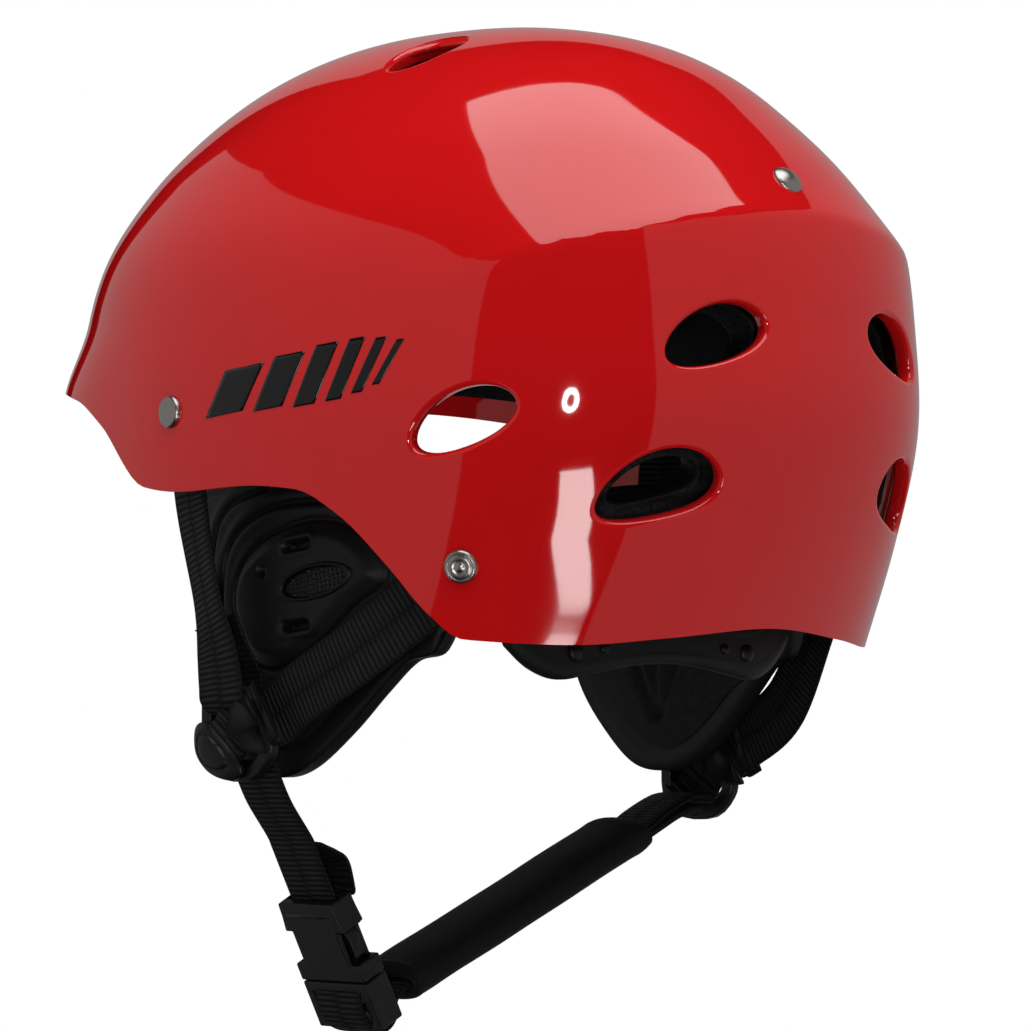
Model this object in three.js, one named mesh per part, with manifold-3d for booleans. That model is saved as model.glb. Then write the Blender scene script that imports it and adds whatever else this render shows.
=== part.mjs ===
// Water sports helmet: hard shell, foam liner, comfort pads, ear pads, nape cradle and buckled chin strap.
// Millimetres. +Z is up, -Y is the front, +X is the wearer's left.
// The origin is the middle of the crown pad's flat lower face, where the top of the head touches.
import * as THREE from "three";
import { mergeVertices } from "three/addons/utils/BufferGeometryUtils.js";
import Module from "manifold-3d";

const wasm = await Module();
wasm.setup();

// ---- driving dimensions ----
const SHELL_TOP = 27; // outer crown above the origin
const LEVEL_STEP = 2; // profile level i lies LEVEL_STEP * i * i below the crown
const FRONT_RADII = [0, 28, 53.5, 76.5, 97.5, 116, 130.5, 138, 140, 139, 135.5];
const SIDE_RADII = [0, 19, 38, 56.5, 73.5, 89.5, 102.5, 108.5, 110.5, 108.5, 106];
const REAR_RADII = [0, 35.5, 66, 89, 107, 124, 136.5, 143, 144.5, 134.5, 117.5];
const REAR_BOXINESS = 0.05; // how much the rear quarters bulge past an ellipse
const RIM = [[0, 111], [40, 112.5], [56, 117], [65, 127], [76, 146], [96, 146.5], [106, 149],
  [118, 171], [130, 192], [146, 193.5], [180, 188.5]]; // angle from the front, depth below the crown
const CREASE = { depth: 66, drop: 44, height: 5, above: 14, below: 22, round: 4, from: 112, to: 150 };
const VISOR = { reach: 5, from: 42, to: 72, top: 90, bottom: 116 };

const SHELL_WALL = 3.2;
const STRAP_DEPTH = 6; // strap's mid plane under the shell's skin
const LINER_OUT = 7;
const LINER_IN = 19;
const PAD_OUT = 20.6;
const PAD_IN = 27;
const LINER_SIDE_DEPTH = 110; // the liner ends above the ear pads
const LINER_REAR_DEPTH = 172;
const LINER_FRONT_DEPTH = 106;

const VENTS = [
  { angle: 127, depth: 127, long: 34, short: 16.5, tilt: 21 },
  { angle: 160, depth: 102.5, long: 34.5, short: 16.5, tilt: 18 },
  { angle: 153, depth: 146, long: 38.5, short: 19.5, tilt: 16 },
  { angle: 108, depth: 11.5, long: 27, short: 18, tilt: 68 },
];
const RIVET_HEAD_R = 4.9;
const RIVET_SHANK_R = 2;
const FRONT_RIVET = { angle: 82.5, depth: 122 };
const SIDE_RIVET = { angle: 128, depth: 169.5 };
const REAR_RIVET = { angle: 180, depth: 55.5 };

const STRAP_WIDTH = 20;
const STRAP_THICK = 1.6;
const GAP = 0.35;

const DIVIDERS = { left: [97.5, -0.5, -190], right: [-97.5, 3, -205] };
const DIVIDER_THICK = 4;
const EAR_PAD_OUTER_X = 88; // outer face at y = 0
const EAR_PAD_YAW = 0.15; // the pad's rear comes inward by this much of y
const EAR_PAD_THICK = 8;
const LINING_THICK = 3.4;

const LOOP_Y = 3.5; // the buckled chin loop hangs in this plane
const BUCKLE_AT = [59.5, LOOP_Y, -263.7]; // middle of the parting line
const BUCKLE_LEAN = 27.4; // degrees from vertical
const BUCKLE_WIDTH = 28;
const BUCKLE_THICK = 9.5;
const FEMALE_LENGTH = 26.5;
const MALE_LENGTH = 16;
const SLEEVE_WIDTH = 27;
const SLEEVE_THICK = 12;

const CRADLE_Y = 73.5;
const CRADLE_AXIS_Z = -148;
const CRADLE_HALF = 60;
const HANGER_X = 64;

const COLOURS = {
  shell: 0xb81414, foam: 0x17181a, pad: 0x1b1c1f, webbing: 0x141416,
  plastic: 0x191a1c, metal: 0xa9a6a2, rubber: 0x1c1d1f, mesh: 0x2a2b2e,
};

// ---- small tools ----
const rad = THREE.MathUtils.degToRad;
const group = new THREE.Group();

function material(colour, roughness = 0.7, metalness = 0) {
  return new THREE.MeshStandardMaterial({ color: colour, roughness, metalness });
}

function add(name, geometry, look) {
  const mesh = new THREE.Mesh(tidy(geometry), look);
  mesh.name = name;
  group.add(mesh);
  return mesh;
}

// A closed geometry with shared vertices, no collapsed triangles and its faces outwards.
function tidy(source) {
  let g = source.clone();
  g.deleteAttribute("normal");
  g.deleteAttribute("uv");
  g = mergeVertices(g, 1e-3);
  const old = g.index.array;
  const p = g.attributes.position;
  const at = (i) => new THREE.Vector3().fromBufferAttribute(p, i);
  const kept = [];
  let volume = 0;
  for (let i = 0; i < old.length; i += 3) {
    const [a, b, c] = [old[i], old[i + 1], old[i + 2]];
    if (a === b || b === c || c === a) continue;
    kept.push(a, b, c);
    volume += at(a).dot(at(b).cross(at(c)));
  }
  if (volume < 0) {
    for (let i = 0; i < kept.length; i += 3) [kept[i + 1], kept[i + 2]] = [kept[i + 2], kept[i + 1]];
  }
  g.setIndex(kept);
  return g;
}

function toSolid(geometry) {
  const g = tidy(geometry);
  const mesh = new wasm.Mesh({
    numProp: 3,
    vertProperties: new Float32Array(g.attributes.position.array),
    triVerts: new Uint32Array(g.index.array),
  });
  return new wasm.Manifold(mesh);
}

function toGeometry(solid) {
  const mesh = solid.getMesh();
  const g = new THREE.BufferGeometry();
  g.setAttribute("position", new THREE.BufferAttribute(new Float32Array(mesh.vertProperties), 3));
  g.setIndex(Array.from(mesh.triVerts));
  return g;
}

function cut(geometry, cutters) {
  return toGeometry(cutters.reduce((body, c) => body.subtract(toSolid(c)), toSolid(geometry)));
}

function join(geometries) {
  return toGeometry(geometries.map(toSolid).reduce((a, b) => a.add(b)));
}

// Every vertex of a geometry put through a function that returns its new place.
function mapped(geometry, place) {
  const g = geometry.clone();
  const p = g.attributes.position;
  for (let i = 0; i < p.count; i += 1) {
    const q = place(p.getX(i), p.getY(i), p.getZ(i));
    p.setXYZ(i, q.x, q.y, q.z);
  }
  return g;
}

function smooth(low, high, x) {
  return THREE.MathUtils.smoothstep(x, low, high);
}

// A smooth line through [place, value] pairs that never swings past them.
function along(pairs, x) {
  const last = pairs.length - 1;
  if (x >= pairs[last][0]) return pairs[last][1];
  const i = Math.max(0, pairs.findIndex((pair) => pair[0] > x) - 1);
  const slope = (k) => (pairs[k + 1][1] - pairs[k][1]) / (pairs[k + 1][0] - pairs[k][0]);
  const lean = (k) => {
    if (k === 0 || k === last) return 0;
    const [a, b] = [slope(k - 1), slope(k)];
    return a * b <= 0 ? 0 : (2 * a * b) / (a + b);
  };
  const h = pairs[i + 1][0] - pairs[i][0];
  const t = (x - pairs[i][0]) / h;
  const [y0, y1, m0, m1] = [pairs[i][1], pairs[i + 1][1], lean(i) * h, lean(i + 1) * h];
  return (2 * y0 - 2 * y1 + m0 + m1) * t ** 3 + (3 * y1 - 3 * y0 - 2 * m0 - m1) * t ** 2 + m0 * t + y0;
}

// ---- the helmet's skin ----
function profile(radii, depth) {
  const s = Math.min(Math.sqrt(Math.max(depth, 0) / LEVEL_STEP), radii.length - 1 - 1e-9);
  const i = Math.floor(s);
  const t = s - i;
  const at = (k) => {
    if (k < 0) return -radii[1];
    if (k < radii.length) return radii[k];
    return 2 * radii[radii.length - 1] - radii[radii.length - 2];
  };
  const [a, b, c, d] = [at(i - 1), at(i), at(i + 1), at(i + 2)];
  const [v0, v1] = [(c - a) / 2, (d - b) / 2];
  return (2 * b - 2 * c + v0 + v1) * t ** 3 + (-3 * b + 3 * c - 2 * v0 - v1) * t ** 2 + v0 * t + b;
}

function fromFront(angle) {
  return Math.abs((((angle + 180) % 360) + 360) % 360 - 180);
}

function rimDepth(angle) {
  return along(RIM, fromFront(angle));
}

// How far the crease round the rear and the visor stand out of the plain dome.
function standsOut(angle, depth, withVisor) {
  const turn = fromFront(angle);
  const line = CREASE.depth + CREASE.drop * (1 + Math.cos(rad(angle)));
  const away = Math.hypot(depth - line, CREASE.round) - CREASE.round;
  const fall = depth < line ? CREASE.above : CREASE.below;
  const crease = CREASE.height * smooth(CREASE.from, CREASE.to, turn) * Math.exp(-away / fall);
  const over = (1 - smooth(VISOR.from, VISOR.to, turn)) * smooth(VISOR.top, VISOR.bottom, depth);
  return crease + (withVisor ? VISOR.reach * over : 0);
}

function skin(angle, depth, stand) {
  const f = profile(FRONT_RADII, depth);
  const s = profile(SIDE_RADII, depth);
  const r = profile(REAR_RADII, depth);
  const c = Math.cos(rad(angle));
  const blend = (c * (3 - c * c)) / 2;
  const bulge = 1 + (REAR_BOXINESS * Math.sin(rad(2 * angle)) ** 2 * (1 - c)) / 2;
  const x = s * Math.sin(rad(angle)) * bulge;
  const y = -(((f + r) / 2) * c + ((f - r) / 2) * c * blend) * bulge;
  const k = 1 + stand(angle, depth) / Math.max(Math.hypot(x, y), 1);
  return new THREE.Vector3(x * k, y * k, SHELL_TOP - depth);
}

const outside = (angle, depth) => standsOut(angle, depth, true);
const innerWall = (angle, depth) => standsOut(angle, depth, false);
const plain = () => 0;

function frameAt(angle, depth, stand = outside) {
  const p = skin(angle, depth, stand);
  if (depth < 0.01) {
    return { p, normal: new THREE.Vector3(0, 0, 1), back: new THREE.Vector3(0, 1, 0) };
  }
  const back = skin(angle + 0.05, depth, stand).sub(p).normalize();
  const down = skin(angle, depth + 0.01, stand).sub(p).normalize();
  const normal = down.clone().cross(back).normalize();
  return { p, normal, back };
}

function under(angle, depth, inward, stand = plain) {
  const { p, normal } = frameAt(angle, depth, stand);
  return p.addScaledVector(normal, -inward);
}

// A dome with a wall between two layers, down to a depth that depends on the angle.
function dome(outer, inner, edge, rings, segments) {
  const points = [];
  for (let i = 0; i <= rings; i += 1) points.push(new THREE.Vector2(i / rings, 0));
  for (let i = rings; i >= 0; i -= 1) points.push(new THREE.Vector2(i / rings, 1));
  return mapped(new THREE.LatheGeometry(points, segments), (x, layer, z) => {
    const angle = THREE.MathUtils.radToDeg(Math.atan2(x, z));
    const depth = (x * x + z * z) * edge(angle);
    return (layer < 0.5 ? outer : inner)(angle, depth);
  });
}

// A slab of the wall between two depths, two angles and two layers.
function patch(from, to, high, low, outer, inner, columns, rows) {
  return mapped(new THREE.BoxGeometry(1, 1, 1, columns, rows, 1), (x, y, z) =>
    under(from + (x + 0.5) * (to - from), low + (y + 0.5) * (high - low), z > 0 ? outer : inner));
}

// ---- cutters and fasteners that stand square on the skin ----
function squareOn(geometry, spot, lift, side = 1, turn = 0) {
  const { p, normal, back } = frameAt(spot.angle * side, spot.depth);
  const across = back.multiplyScalar(side);
  const up = normal.clone().cross(across).multiplyScalar(side);
  const x = across.clone().multiplyScalar(Math.cos(turn)).addScaledVector(up, Math.sin(turn));
  const y = normal.clone().cross(x);
  const basis = new THREE.Matrix4().makeBasis(x, y, normal);
  return geometry.clone().applyMatrix4(basis).translate(...p.addScaledVector(normal, lift).toArray());
}

function ventCutter(vent, side, grow, reach) {
  const oval = new THREE.Shape().absellipse(0, 0, vent.long / 2 + grow, vent.short / 2 + grow, 0, 2 * Math.PI);
  const prism = new THREE.ExtrudeGeometry(oval, { depth: reach + 12, bevelEnabled: false, curveSegments: 8 });
  return squareOn(prism, vent, -reach, side, rad(vent.tilt));
}

function disc(radius, from, to, segments = 16) {
  return new THREE.CylinderGeometry(radius, radius, to - from, segments)
    .rotateX(Math.PI / 2).translate(0, 0, (from + to) / 2);
}

// ---- webbing: a flat ribbon along a smooth line, each point with the way its face looks ----
function ribbon(points, width, thick, steps) {
  const curve = new THREE.CatmullRomCurve3(points.map((q) => new THREE.Vector3(...q.at)), false, "centripetal");
  const faces = points.map((q) => new THREE.Vector3(...q.face).normalize());
  return mapped(new THREE.BoxGeometry(1, 1, 1, steps, 1, 1), (x, y, z) => {
    const t = x + 0.5;
    const place = Math.min(t * (points.length - 1), points.length - 1 - 1e-9);
    const i = Math.floor(place);
    const face = faces[i].clone().lerp(faces[i + 1], place - i);
    const run = curve.getTangent(t);
    face.addScaledVector(run, -face.dot(run)).normalize();
    const edge = new THREE.Vector3().crossVectors(run, face);
    return curve.getPoint(t).addScaledVector(edge, y * width).addScaledVector(face, z * thick);
  });
}

function mirrored(points, side) {
  return points.map((q) => ({ at: [q.at[0] * side, q.at[1], q.at[2]], face: [q.face[0] * side, q.face[1], q.face[2]] }));
}

// ---- shell, liner and comfort pads ----
function bothSides(make) {
  return [1, -1].flatMap(make);
}

const RIVETS = [
  { name: "front_rivet_left", spot: FRONT_RIVET, side: 1, washer: 8.2 },
  { name: "front_rivet_right", spot: FRONT_RIVET, side: -1, washer: 8.2 },
  { name: "side_rivet_left", spot: SIDE_RIVET, side: 1, washer: 9 },
  { name: "side_rivet_right", spot: SIDE_RIVET, side: -1, washer: 9 },
  { name: "rear_rivet", spot: REAR_RIVET, side: 1, washer: 4.2 },
];

function outerShell() {
  const outer = (angle, depth) => skin(angle, depth, outside);
  const inner = (angle, depth) => under(angle, depth, SHELL_WALL, innerWall);
  const wall = dome(outer, inner, rimDepth, 12, 52);
  const vents = bothSides((side) => VENTS.map((vent) => ventCutter(vent, side, 0, 12)));
  const holes = RIVETS.map((r) => squareOn(disc(RIVET_SHANK_R + GAP, -12, 8, 10), r.spot, 0, r.side));
  return cut(wall, [...vents, ...holes]);
}

function linerEdge(angle) {
  const turn = fromFront(angle);
  const side = THREE.MathUtils.lerp(LINER_FRONT_DEPTH, LINER_SIDE_DEPTH, smooth(45, 75, turn));
  return THREE.MathUtils.lerp(side, LINER_REAR_DEPTH, smooth(118, 146, turn));
}

function foamLiner() {
  const body = dome((a, d) => under(a, d, LINER_OUT), (a, d) => under(a, d, LINER_IN), linerEdge, 9, 36);
  const vents = bothSides((side) => VENTS.map((vent) => ventCutter(vent, side, 1.5, 34)));
  return cut(body, vents);
}

function crownPad() {
  const points = [[0, 0], [0.5, 0], [1, 0], [1, 1], [0.5, 1], [0, 1]].map((q) => new THREE.Vector2(...q));
  return mapped(new THREE.LatheGeometry(points, 24), (x, layer, z) => {
    const at = new THREE.Vector3(x * 23, z * 34, 0);
    const roof = SHELL_TOP - PAD_OUT - (at.x ** 2) / 138 - (at.y ** 2) / 330;
    return at.setZ(layer * roof);
  });
}

// ---- ear pads: bent slabs that hang from inside the rim to the jaw ----
const EAR_OUTLINE = [[-30, -114], [-33, -140], [-31, -165], [-24, -183], [-12, -198], [2, -204], [15, -200],
  [30, -190], [44, -176], [54, -168], [62, -163], [63, -150], [52, -130], [34, -114]];
const EAR_LINING = [[-21, -128], [-23, -150], [-20, -168], [-8, -187], [3, -192], [14, -187], [30, -174],
  [44, -160], [38, -134], [26, -126]];

function outline(points) {
  return new THREE.Shape(new THREE.SplineCurve([...points, points[0]].map((q) => new THREE.Vector2(...q)))
    .getPoints(points.length * 3).slice(0, -1));
}

function earX(y) {
  return EAR_PAD_OUTER_X - EAR_PAD_YAW * y;
}

function earSlab(points, outer, thick, side) {
  const slab = new THREE.ExtrudeGeometry(outline(points), { depth: thick, bevelEnabled: false });
  return mapped(slab, (y, z, depth) => new THREE.Vector3((earX(y) - outer - depth) * side, y, z));
}

function earGrille(side, grow, thick, outer) {
  const oval = new THREE.Shape().absellipse(0, 0, 14 + grow, 4.6 + grow, 0, 2 * Math.PI, false, 0);
  const plate = new THREE.ExtrudeGeometry(oval, { depth: thick, bevelEnabled: false, curveSegments: 8 });
  plate.rotateZ(rad(10)).translate(25, -146, 0);
  return mapped(plate, (y, z, depth) => new THREE.Vector3((earX(y) - outer - depth) * side, y, z));
}

function earPad(side) {
  return cut(earSlab(EAR_OUTLINE, 0, EAR_PAD_THICK, side), [earGrille(side, 0.4, EAR_PAD_THICK + 4, -2)]);
}

// ---- straps from the shell to the dividers ----
function frontStrap(side, divider) {
  const top = under(FRONT_RIVET.angle, FRONT_RIVET.depth, STRAP_DEPTH);
  const [x, y, z] = [Math.abs(divider[0]), divider[1], divider[2]];
  return mirrored([
    { at: [top.x - 0.8, top.y - 0.5, top.z + 7], face: [1, -0.16, 0.04] },
    { at: [top.x, top.y, top.z], face: [1, -0.16, 0] },
    { at: [top.x - 1.6, top.y + 0.6, -120], face: [0.97, -0.25, 0] },
    { at: [x + 5, y - 10, z + 38], face: [0.94, -0.34, 0] },
    { at: [x + 4, y - 4, z + 16], face: [1, -0.06, 0] },
    { at: [x + 3.6, y - 3, z + 8], face: [1, 0, 0] },
  ], side);
}

function rearStrap(side, divider) {
  const top = under(SIDE_RIVET.angle, SIDE_RIVET.depth, STRAP_DEPTH);
  const [x, y, z] = [Math.abs(divider[0]), divider[1], divider[2]];
  return mirrored([
    { at: [top.x - 3.6, top.y + 4.6, top.z + 4], face: [0.82, 0.55, -0.12] },
    { at: [top.x - 0.4, top.y, top.z], face: [0.85, 0.5, -0.12] },
    { at: [88, 66, -152.5], face: [0.93, 0.34, 0] },
    { at: [93.2, 45, z + 23], face: [0.99, 0.1, 0] },
    { at: [x - 2.9, y + 20, z + 9], face: [1, 0, 0] },
    { at: [x - 3.1, y + 7, z + 2], face: [1, 0, 0] },
  ], side);
}

const RING_OUTSIDE = [[-16, 9], [-12.5, 13.6], [-5, 14.6], [3, 13.4], [10, 6], [15.6, -2], [14.4, -8], [7, -14.2],
  [-6, -14.6], [-15, -9]];
const RING_INSIDE = [[-11.6, 6.5], [-8.5, 9.6], [0, 9.6], [6.5, 3.5], [10.8, -3.2], [9.6, -6.4], [5, -10.2],
  [-4.5, -10.4], [-11, -6]];
const LEVER_OUTLINE = [[-15.8, 1], [-16, -6], [-12, -11], [-6, -13.8], [1.5, -14.6], [5, -11.5], [2, -6], [-4, -1],
  [-10.5, 2.6]];
const LEVER_STANDS = 2.5; // lever's inner face from the divider's middle plane
const LEVER_THICK = 4;

function dividerRing(side, at) {
  const shape = outline(RING_OUTSIDE);
  shape.holes.push(new THREE.Path(outline(RING_INSIDE).getPoints().reverse()));
  const plate = new THREE.ExtrudeGeometry(shape, { depth: DIVIDER_THICK, bevelEnabled: false });
  return mapped(plate, (y, z, depth) =>
    new THREE.Vector3(at[0] + side * (depth - DIVIDER_THICK / 2), at[1] + y, at[2] + z));
}

function dividerLever(side, at) {
  const plate = new THREE.ExtrudeGeometry(outline(LEVER_OUTLINE), { depth: LEVER_THICK, bevelEnabled: false });
  return mapped(plate, (y, z, depth) =>
    new THREE.Vector3(at[0] + side * (LEVER_STANDS + depth), at[1] + y, at[2] + z));
}

// ---- nape cradle: a curved band on two hanging plates, tilting on two pins ----
function cradleBand(outer, inner, high, low, half) {
  return mapped(new THREE.BoxGeometry(1, 1, 1, 20, 1, 1), (x, y, z) => {
    const across = x * 2 * half;
    const bow = 6 * (1 - (across / CRADLE_HALF) ** 2);
    const edge = y > 0 ? high(across) : low(across);
    return new THREE.Vector3(across, CRADLE_Y + bow + (z > 0 ? outer : inner), edge);
  });
}

function cradleLow(x) {
  const place = Math.abs(x) / CRADLE_HALF;
  return along([[0, -170], [0.35, -171.5], [0.7, -174.8], [1, -166]], place);
}

function napeCradle() {
  const band = cradleBand(2.5, -2.5, (x) => along([[0, -158], [0.7, -156], [1, -142]], Math.abs(x) / CRADLE_HALF),
    cradleLow, CRADLE_HALF);
  const holes = [1, -1].map((side) => pinAlongX(1.6, side * (CRADLE_HALF - 8), side * (CRADLE_HALF + 8)));
  return cut(band, holes);
}

function pinAlongX(radius, from, to) {
  return new THREE.CylinderGeometry(radius, radius, Math.abs(to - from), 10)
    .rotateZ(Math.PI / 2).translate((from + to) / 2, CRADLE_Y, CRADLE_AXIS_Z);
}

function napeHanger(side) {
  const plate = new THREE.BoxGeometry(4, 19, 22).translate(side * HANGER_X, CRADLE_Y + 5.5, CRADLE_AXIS_Z + 6);
  return cut(plate, [pinAlongX(1.6, side * (HANGER_X - 6), side * (HANGER_X + 6))]);
}

// ---- chin loop: buckle in its own frame, then leaned into the loop's plane ----
function leaned(geometry) {
  // local x is the width, local y the outer face, local z runs up the strap
  return geometry.clone().rotateZ(-Math.PI / 2).rotateY(rad(BUCKLE_LEAN)).translate(...BUCKLE_AT);
}

function block(width, thick, low, high, x = 0, y = 0) {
  return new THREE.BoxGeometry(width, thick, high - low).translate(x, y, (low + high) / 2);
}

const WINDOW = { low: 6, high: 17 };
const PRONG_TOP = 17;

function buckleFemale() {
  const taper = (x, z) => x * (1 - 0.16 * smooth(8, FEMALE_LENGTH, z));
  const body = mapped(new THREE.BoxGeometry(BUCKLE_WIDTH, BUCKLE_THICK, FEMALE_LENGTH, 1, 1, 6)
    .translate(0, 0, FEMALE_LENGTH / 2 + 0.2), (x, y, z) => new THREE.Vector3(taper(x, z), y, z));
  const cavity = block(BUCKLE_WIDTH - 4, 5.6, -1, 19);
  const slot = block(STRAP_WIDTH + 0.8, STRAP_THICK + 1.2, 18, FEMALE_LENGTH + 4);
  const windows = [1, -1].map((side) =>
    block(8, BUCKLE_THICK + 4, WINDOW.low, WINDOW.high, (side * BUCKLE_WIDTH) / 2));
  return leaned(cut(body, [cavity, slot, ...windows]));
}

function buckleMale() {
  const base = block(BUCKLE_WIDTH, BUCKLE_THICK, -MALE_LENGTH, -0.2);
  const slots = [-5.5, -11.5].map((z) => block(STRAP_WIDTH + 1, BUCKLE_THICK + 4, z - 1.6, z + 1.6));
  const guide = block(7, 4, -1, PRONG_TOP);
  return leaned(join([cut(base, slots), guide]));
}

function latchArm(side) {
  const arm = new THREE.Shape([[6.6, 0.3], [9.8, 0.3], [10.4, 6.6], [11.5, 7.2], [11.5, 13.6], [10, 16.4], [8.4, 16.6],
    [7.8, 8]].map((q) => new THREE.Vector2(...q)));
  const bar = new THREE.ExtrudeGeometry(arm, { depth: 4.4, bevelEnabled: false });
  return leaned(mapped(bar, (x, z, y) => new THREE.Vector3(side * x, y - 2.2, z)));
}

// a point on the buckle's middle line, so far up from the parting line
function upBuckle(distance) {
  return [BUCKLE_AT[0] + distance * Math.sin(rad(BUCKLE_LEAN)), LOOP_Y, BUCKLE_AT[2] + distance * Math.cos(rad(BUCKLE_LEAN))];
}

const BUCKLE_FACE = [Math.cos(rad(BUCKLE_LEAN)), 0, -Math.sin(rad(BUCKLE_LEAN))];
const LEFT_WEBBING = [
  { at: [93.8, LOOP_Y, -203], face: [1, 0, 0] },
  { at: [92.4, LOOP_Y, -209], face: [0.92, 0, -0.4] },
  { at: [87.6, LOOP_Y, -215.6], face: [0.8, 0, -0.6] },
  { at: upBuckle(48), face: BUCKLE_FACE },
  { at: upBuckle(42), face: BUCKLE_FACE },
  { at: upBuckle(30), face: BUCKLE_FACE },
  { at: upBuckle(20), face: BUCKLE_FACE },
];
const RIGHT_WEBBING = [
  { at: [50.2, LOOP_Y, -268], face: [0.45, 0, 0.89] },
  { at: [42, LOOP_Y, -266], face: [0.3, 0, 0.95] },
  { at: [30, LOOP_Y, -262], face: [0.38, 0, 0.92] },
  { at: [0, LOOP_Y, -249.5], face: [0.4, 0, 0.92] },
  { at: [-30, LOOP_Y, -236.5], face: [0.39, 0, 0.92] },
  { at: [-60, LOOP_Y, -224], face: [0.4, 0, 0.92] },
  { at: [-72, LOOP_Y, -217.5], face: [0.5, 0, 0.86] },
  { at: [-84, LOOP_Y, -212], face: [0.3, 0, 0.95] },
  { at: [-92.8, LOOP_Y, -210.7], face: [0, 0, 1] },
];
const SLEEVE_LINE = RIGHT_WEBBING.slice(1, 6);

function chinSleeve() {
  const points = SLEEVE_LINE.map((q) => new THREE.Vector3(...q.at));
  const curve = new THREE.CatmullRomCurve3(points, false, "centripetal");
  const ring = new THREE.Shape().absellipse(0, 0, SLEEVE_WIDTH / 2, SLEEVE_THICK / 2, 0, 2 * Math.PI);
  const hollow = new THREE.Path().absellipse(0, 0, STRAP_WIDTH / 2 + 1.6, STRAP_THICK / 2 + 1.7, 0, 2 * Math.PI);
  ring.holes.push(hollow);
  const tube = new THREE.ExtrudeGeometry(ring, { depth: 1, steps: 10, bevelEnabled: false, curveSegments: 5 });
  return mapped(tube, (x, y, z) => {
    const run = curve.getTangent(z);
    const face = new THREE.Vector3(0, 1, 0).cross(run).normalize();
    return curve.getPoint(z).addScaledVector(new THREE.Vector3(0, 1, 0), x).addScaledVector(face, y);
  });
}

// ---- the assembly ----
const red = material(COLOURS.shell, 0.12);
const foam = material(COLOURS.foam, 0.85);
const padding = material(COLOURS.pad, 0.9);
const webbing = material(COLOURS.webbing, 0.9);
const plastic = material(COLOURS.plastic, 0.45);
const metal = material(COLOURS.metal, 0.25, 1);
const earFoam = material(COLOURS.rubber, 0.75);
const mesh = material(COLOURS.mesh, 0.6);

add("outer_shell", outerShell(), red);
add("foam_liner", foamLiner(), foam);
add("crown_pad", crownPad(), padding);
add("front_pad", patch(-34, 34, 66, 100, PAD_OUT + 0.6, PAD_IN, 8, 4), padding);
add("rear_pad", patch(169, 191, 92, 158, PAD_OUT + 1.4, PAD_IN + 1, 4, 7), padding);
add("left_pad", patch(66, 108, 72, 112, PAD_OUT, PAD_IN, 6, 4), padding);
add("right_pad", patch(-108, -66, 72, 112, PAD_OUT, PAD_IN, 6, 4), padding);

for (const { name, spot, side, washer } of RIVETS) {
  const head = disc(RIVET_HEAD_R, GAP, 1.9);
  const shank = disc(RIVET_SHANK_R, -SHELL_WALL - GAP, 1, 10);
  add(name, squareOn(join([head, shank]), spot, 0, side), metal);
  const ring = disc(RIVET_HEAD_R, -washer - 1.2, -washer, 12);
  add(name.replace("rivet", "rivet_washer"), squareOn(ring, spot, 0, side), metal);
}

for (const [word, side] of [["left", 1], ["right", -1]]) {
  const divider = DIVIDERS[word];
  add(`front_strap_${word}`, ribbon(frontStrap(side, divider), STRAP_WIDTH, STRAP_THICK, 20), webbing);
  add(`rear_strap_${word}`, ribbon(rearStrap(side, divider), STRAP_WIDTH, STRAP_THICK, 20), webbing);
  add(`divider_${word}`, dividerRing(side, divider), plastic);
  add(`divider_lever_${word}`, dividerLever(side, divider), plastic);
  add(`ear_pad_${word}`, earPad(side), earFoam);
  add(`ear_lining_${word}`, earSlab(EAR_LINING, EAR_PAD_THICK + GAP, LINING_THICK, side), padding);
  add(`ear_grille_${word}`, earGrille(side, 0, 2.4, 2.6), mesh);
  add(`nape_hanger_${word}`, napeHanger(side), plastic);
  add(`nape_pin_${word}`, pinAlongX(1.25, side * (CRADLE_HALF - 5), side * (HANGER_X + 3)), metal);
}

add("nape_cradle", napeCradle(), earFoam);
add("nape_pad", cradleBand(-2.9, -5.6, () => -160, (x) => cradleLow(x) + 4, CRADLE_HALF - 14), padding);

add("left_chin_webbing", ribbon(LEFT_WEBBING, STRAP_WIDTH, STRAP_THICK, 14), webbing);
add("right_chin_webbing", ribbon(RIGHT_WEBBING, STRAP_WIDTH, STRAP_THICK, 26), webbing);
add("buckle_female", buckleFemale(), plastic);
add("buckle_male", buckleMale(), plastic);
add("latch_arm_front", latchArm(1), plastic);
add("latch_arm_rear", latchArm(-1), plastic);
add("chin_sleeve", chinSleeve(), padding);

export default group;
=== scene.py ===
"""Water sports helmet: glossy vented shell, foam liner, pads, ear pads, nape cradle and buckled chin strap.

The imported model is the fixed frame. Sizes below are millimetres, in the frame's axes:
+Z up, -Y the front, +X the wearer's left, and the origin under the crown pad.
"""

import math

import bmesh
import bpy
import numpy as np
from mathutils import Matrix, Vector


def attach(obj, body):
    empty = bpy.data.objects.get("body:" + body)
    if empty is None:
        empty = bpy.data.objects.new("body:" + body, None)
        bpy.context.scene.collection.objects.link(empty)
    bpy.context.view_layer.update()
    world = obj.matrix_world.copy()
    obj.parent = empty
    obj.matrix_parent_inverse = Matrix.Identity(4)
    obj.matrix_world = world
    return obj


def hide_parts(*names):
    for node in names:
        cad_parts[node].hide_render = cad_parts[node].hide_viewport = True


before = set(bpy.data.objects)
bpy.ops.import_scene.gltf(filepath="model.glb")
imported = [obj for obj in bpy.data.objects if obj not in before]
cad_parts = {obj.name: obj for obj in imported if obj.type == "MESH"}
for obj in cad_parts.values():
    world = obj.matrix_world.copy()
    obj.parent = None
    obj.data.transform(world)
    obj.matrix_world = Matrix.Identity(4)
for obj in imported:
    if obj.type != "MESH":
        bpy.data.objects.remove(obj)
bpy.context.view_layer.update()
MM = 0.001
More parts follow.
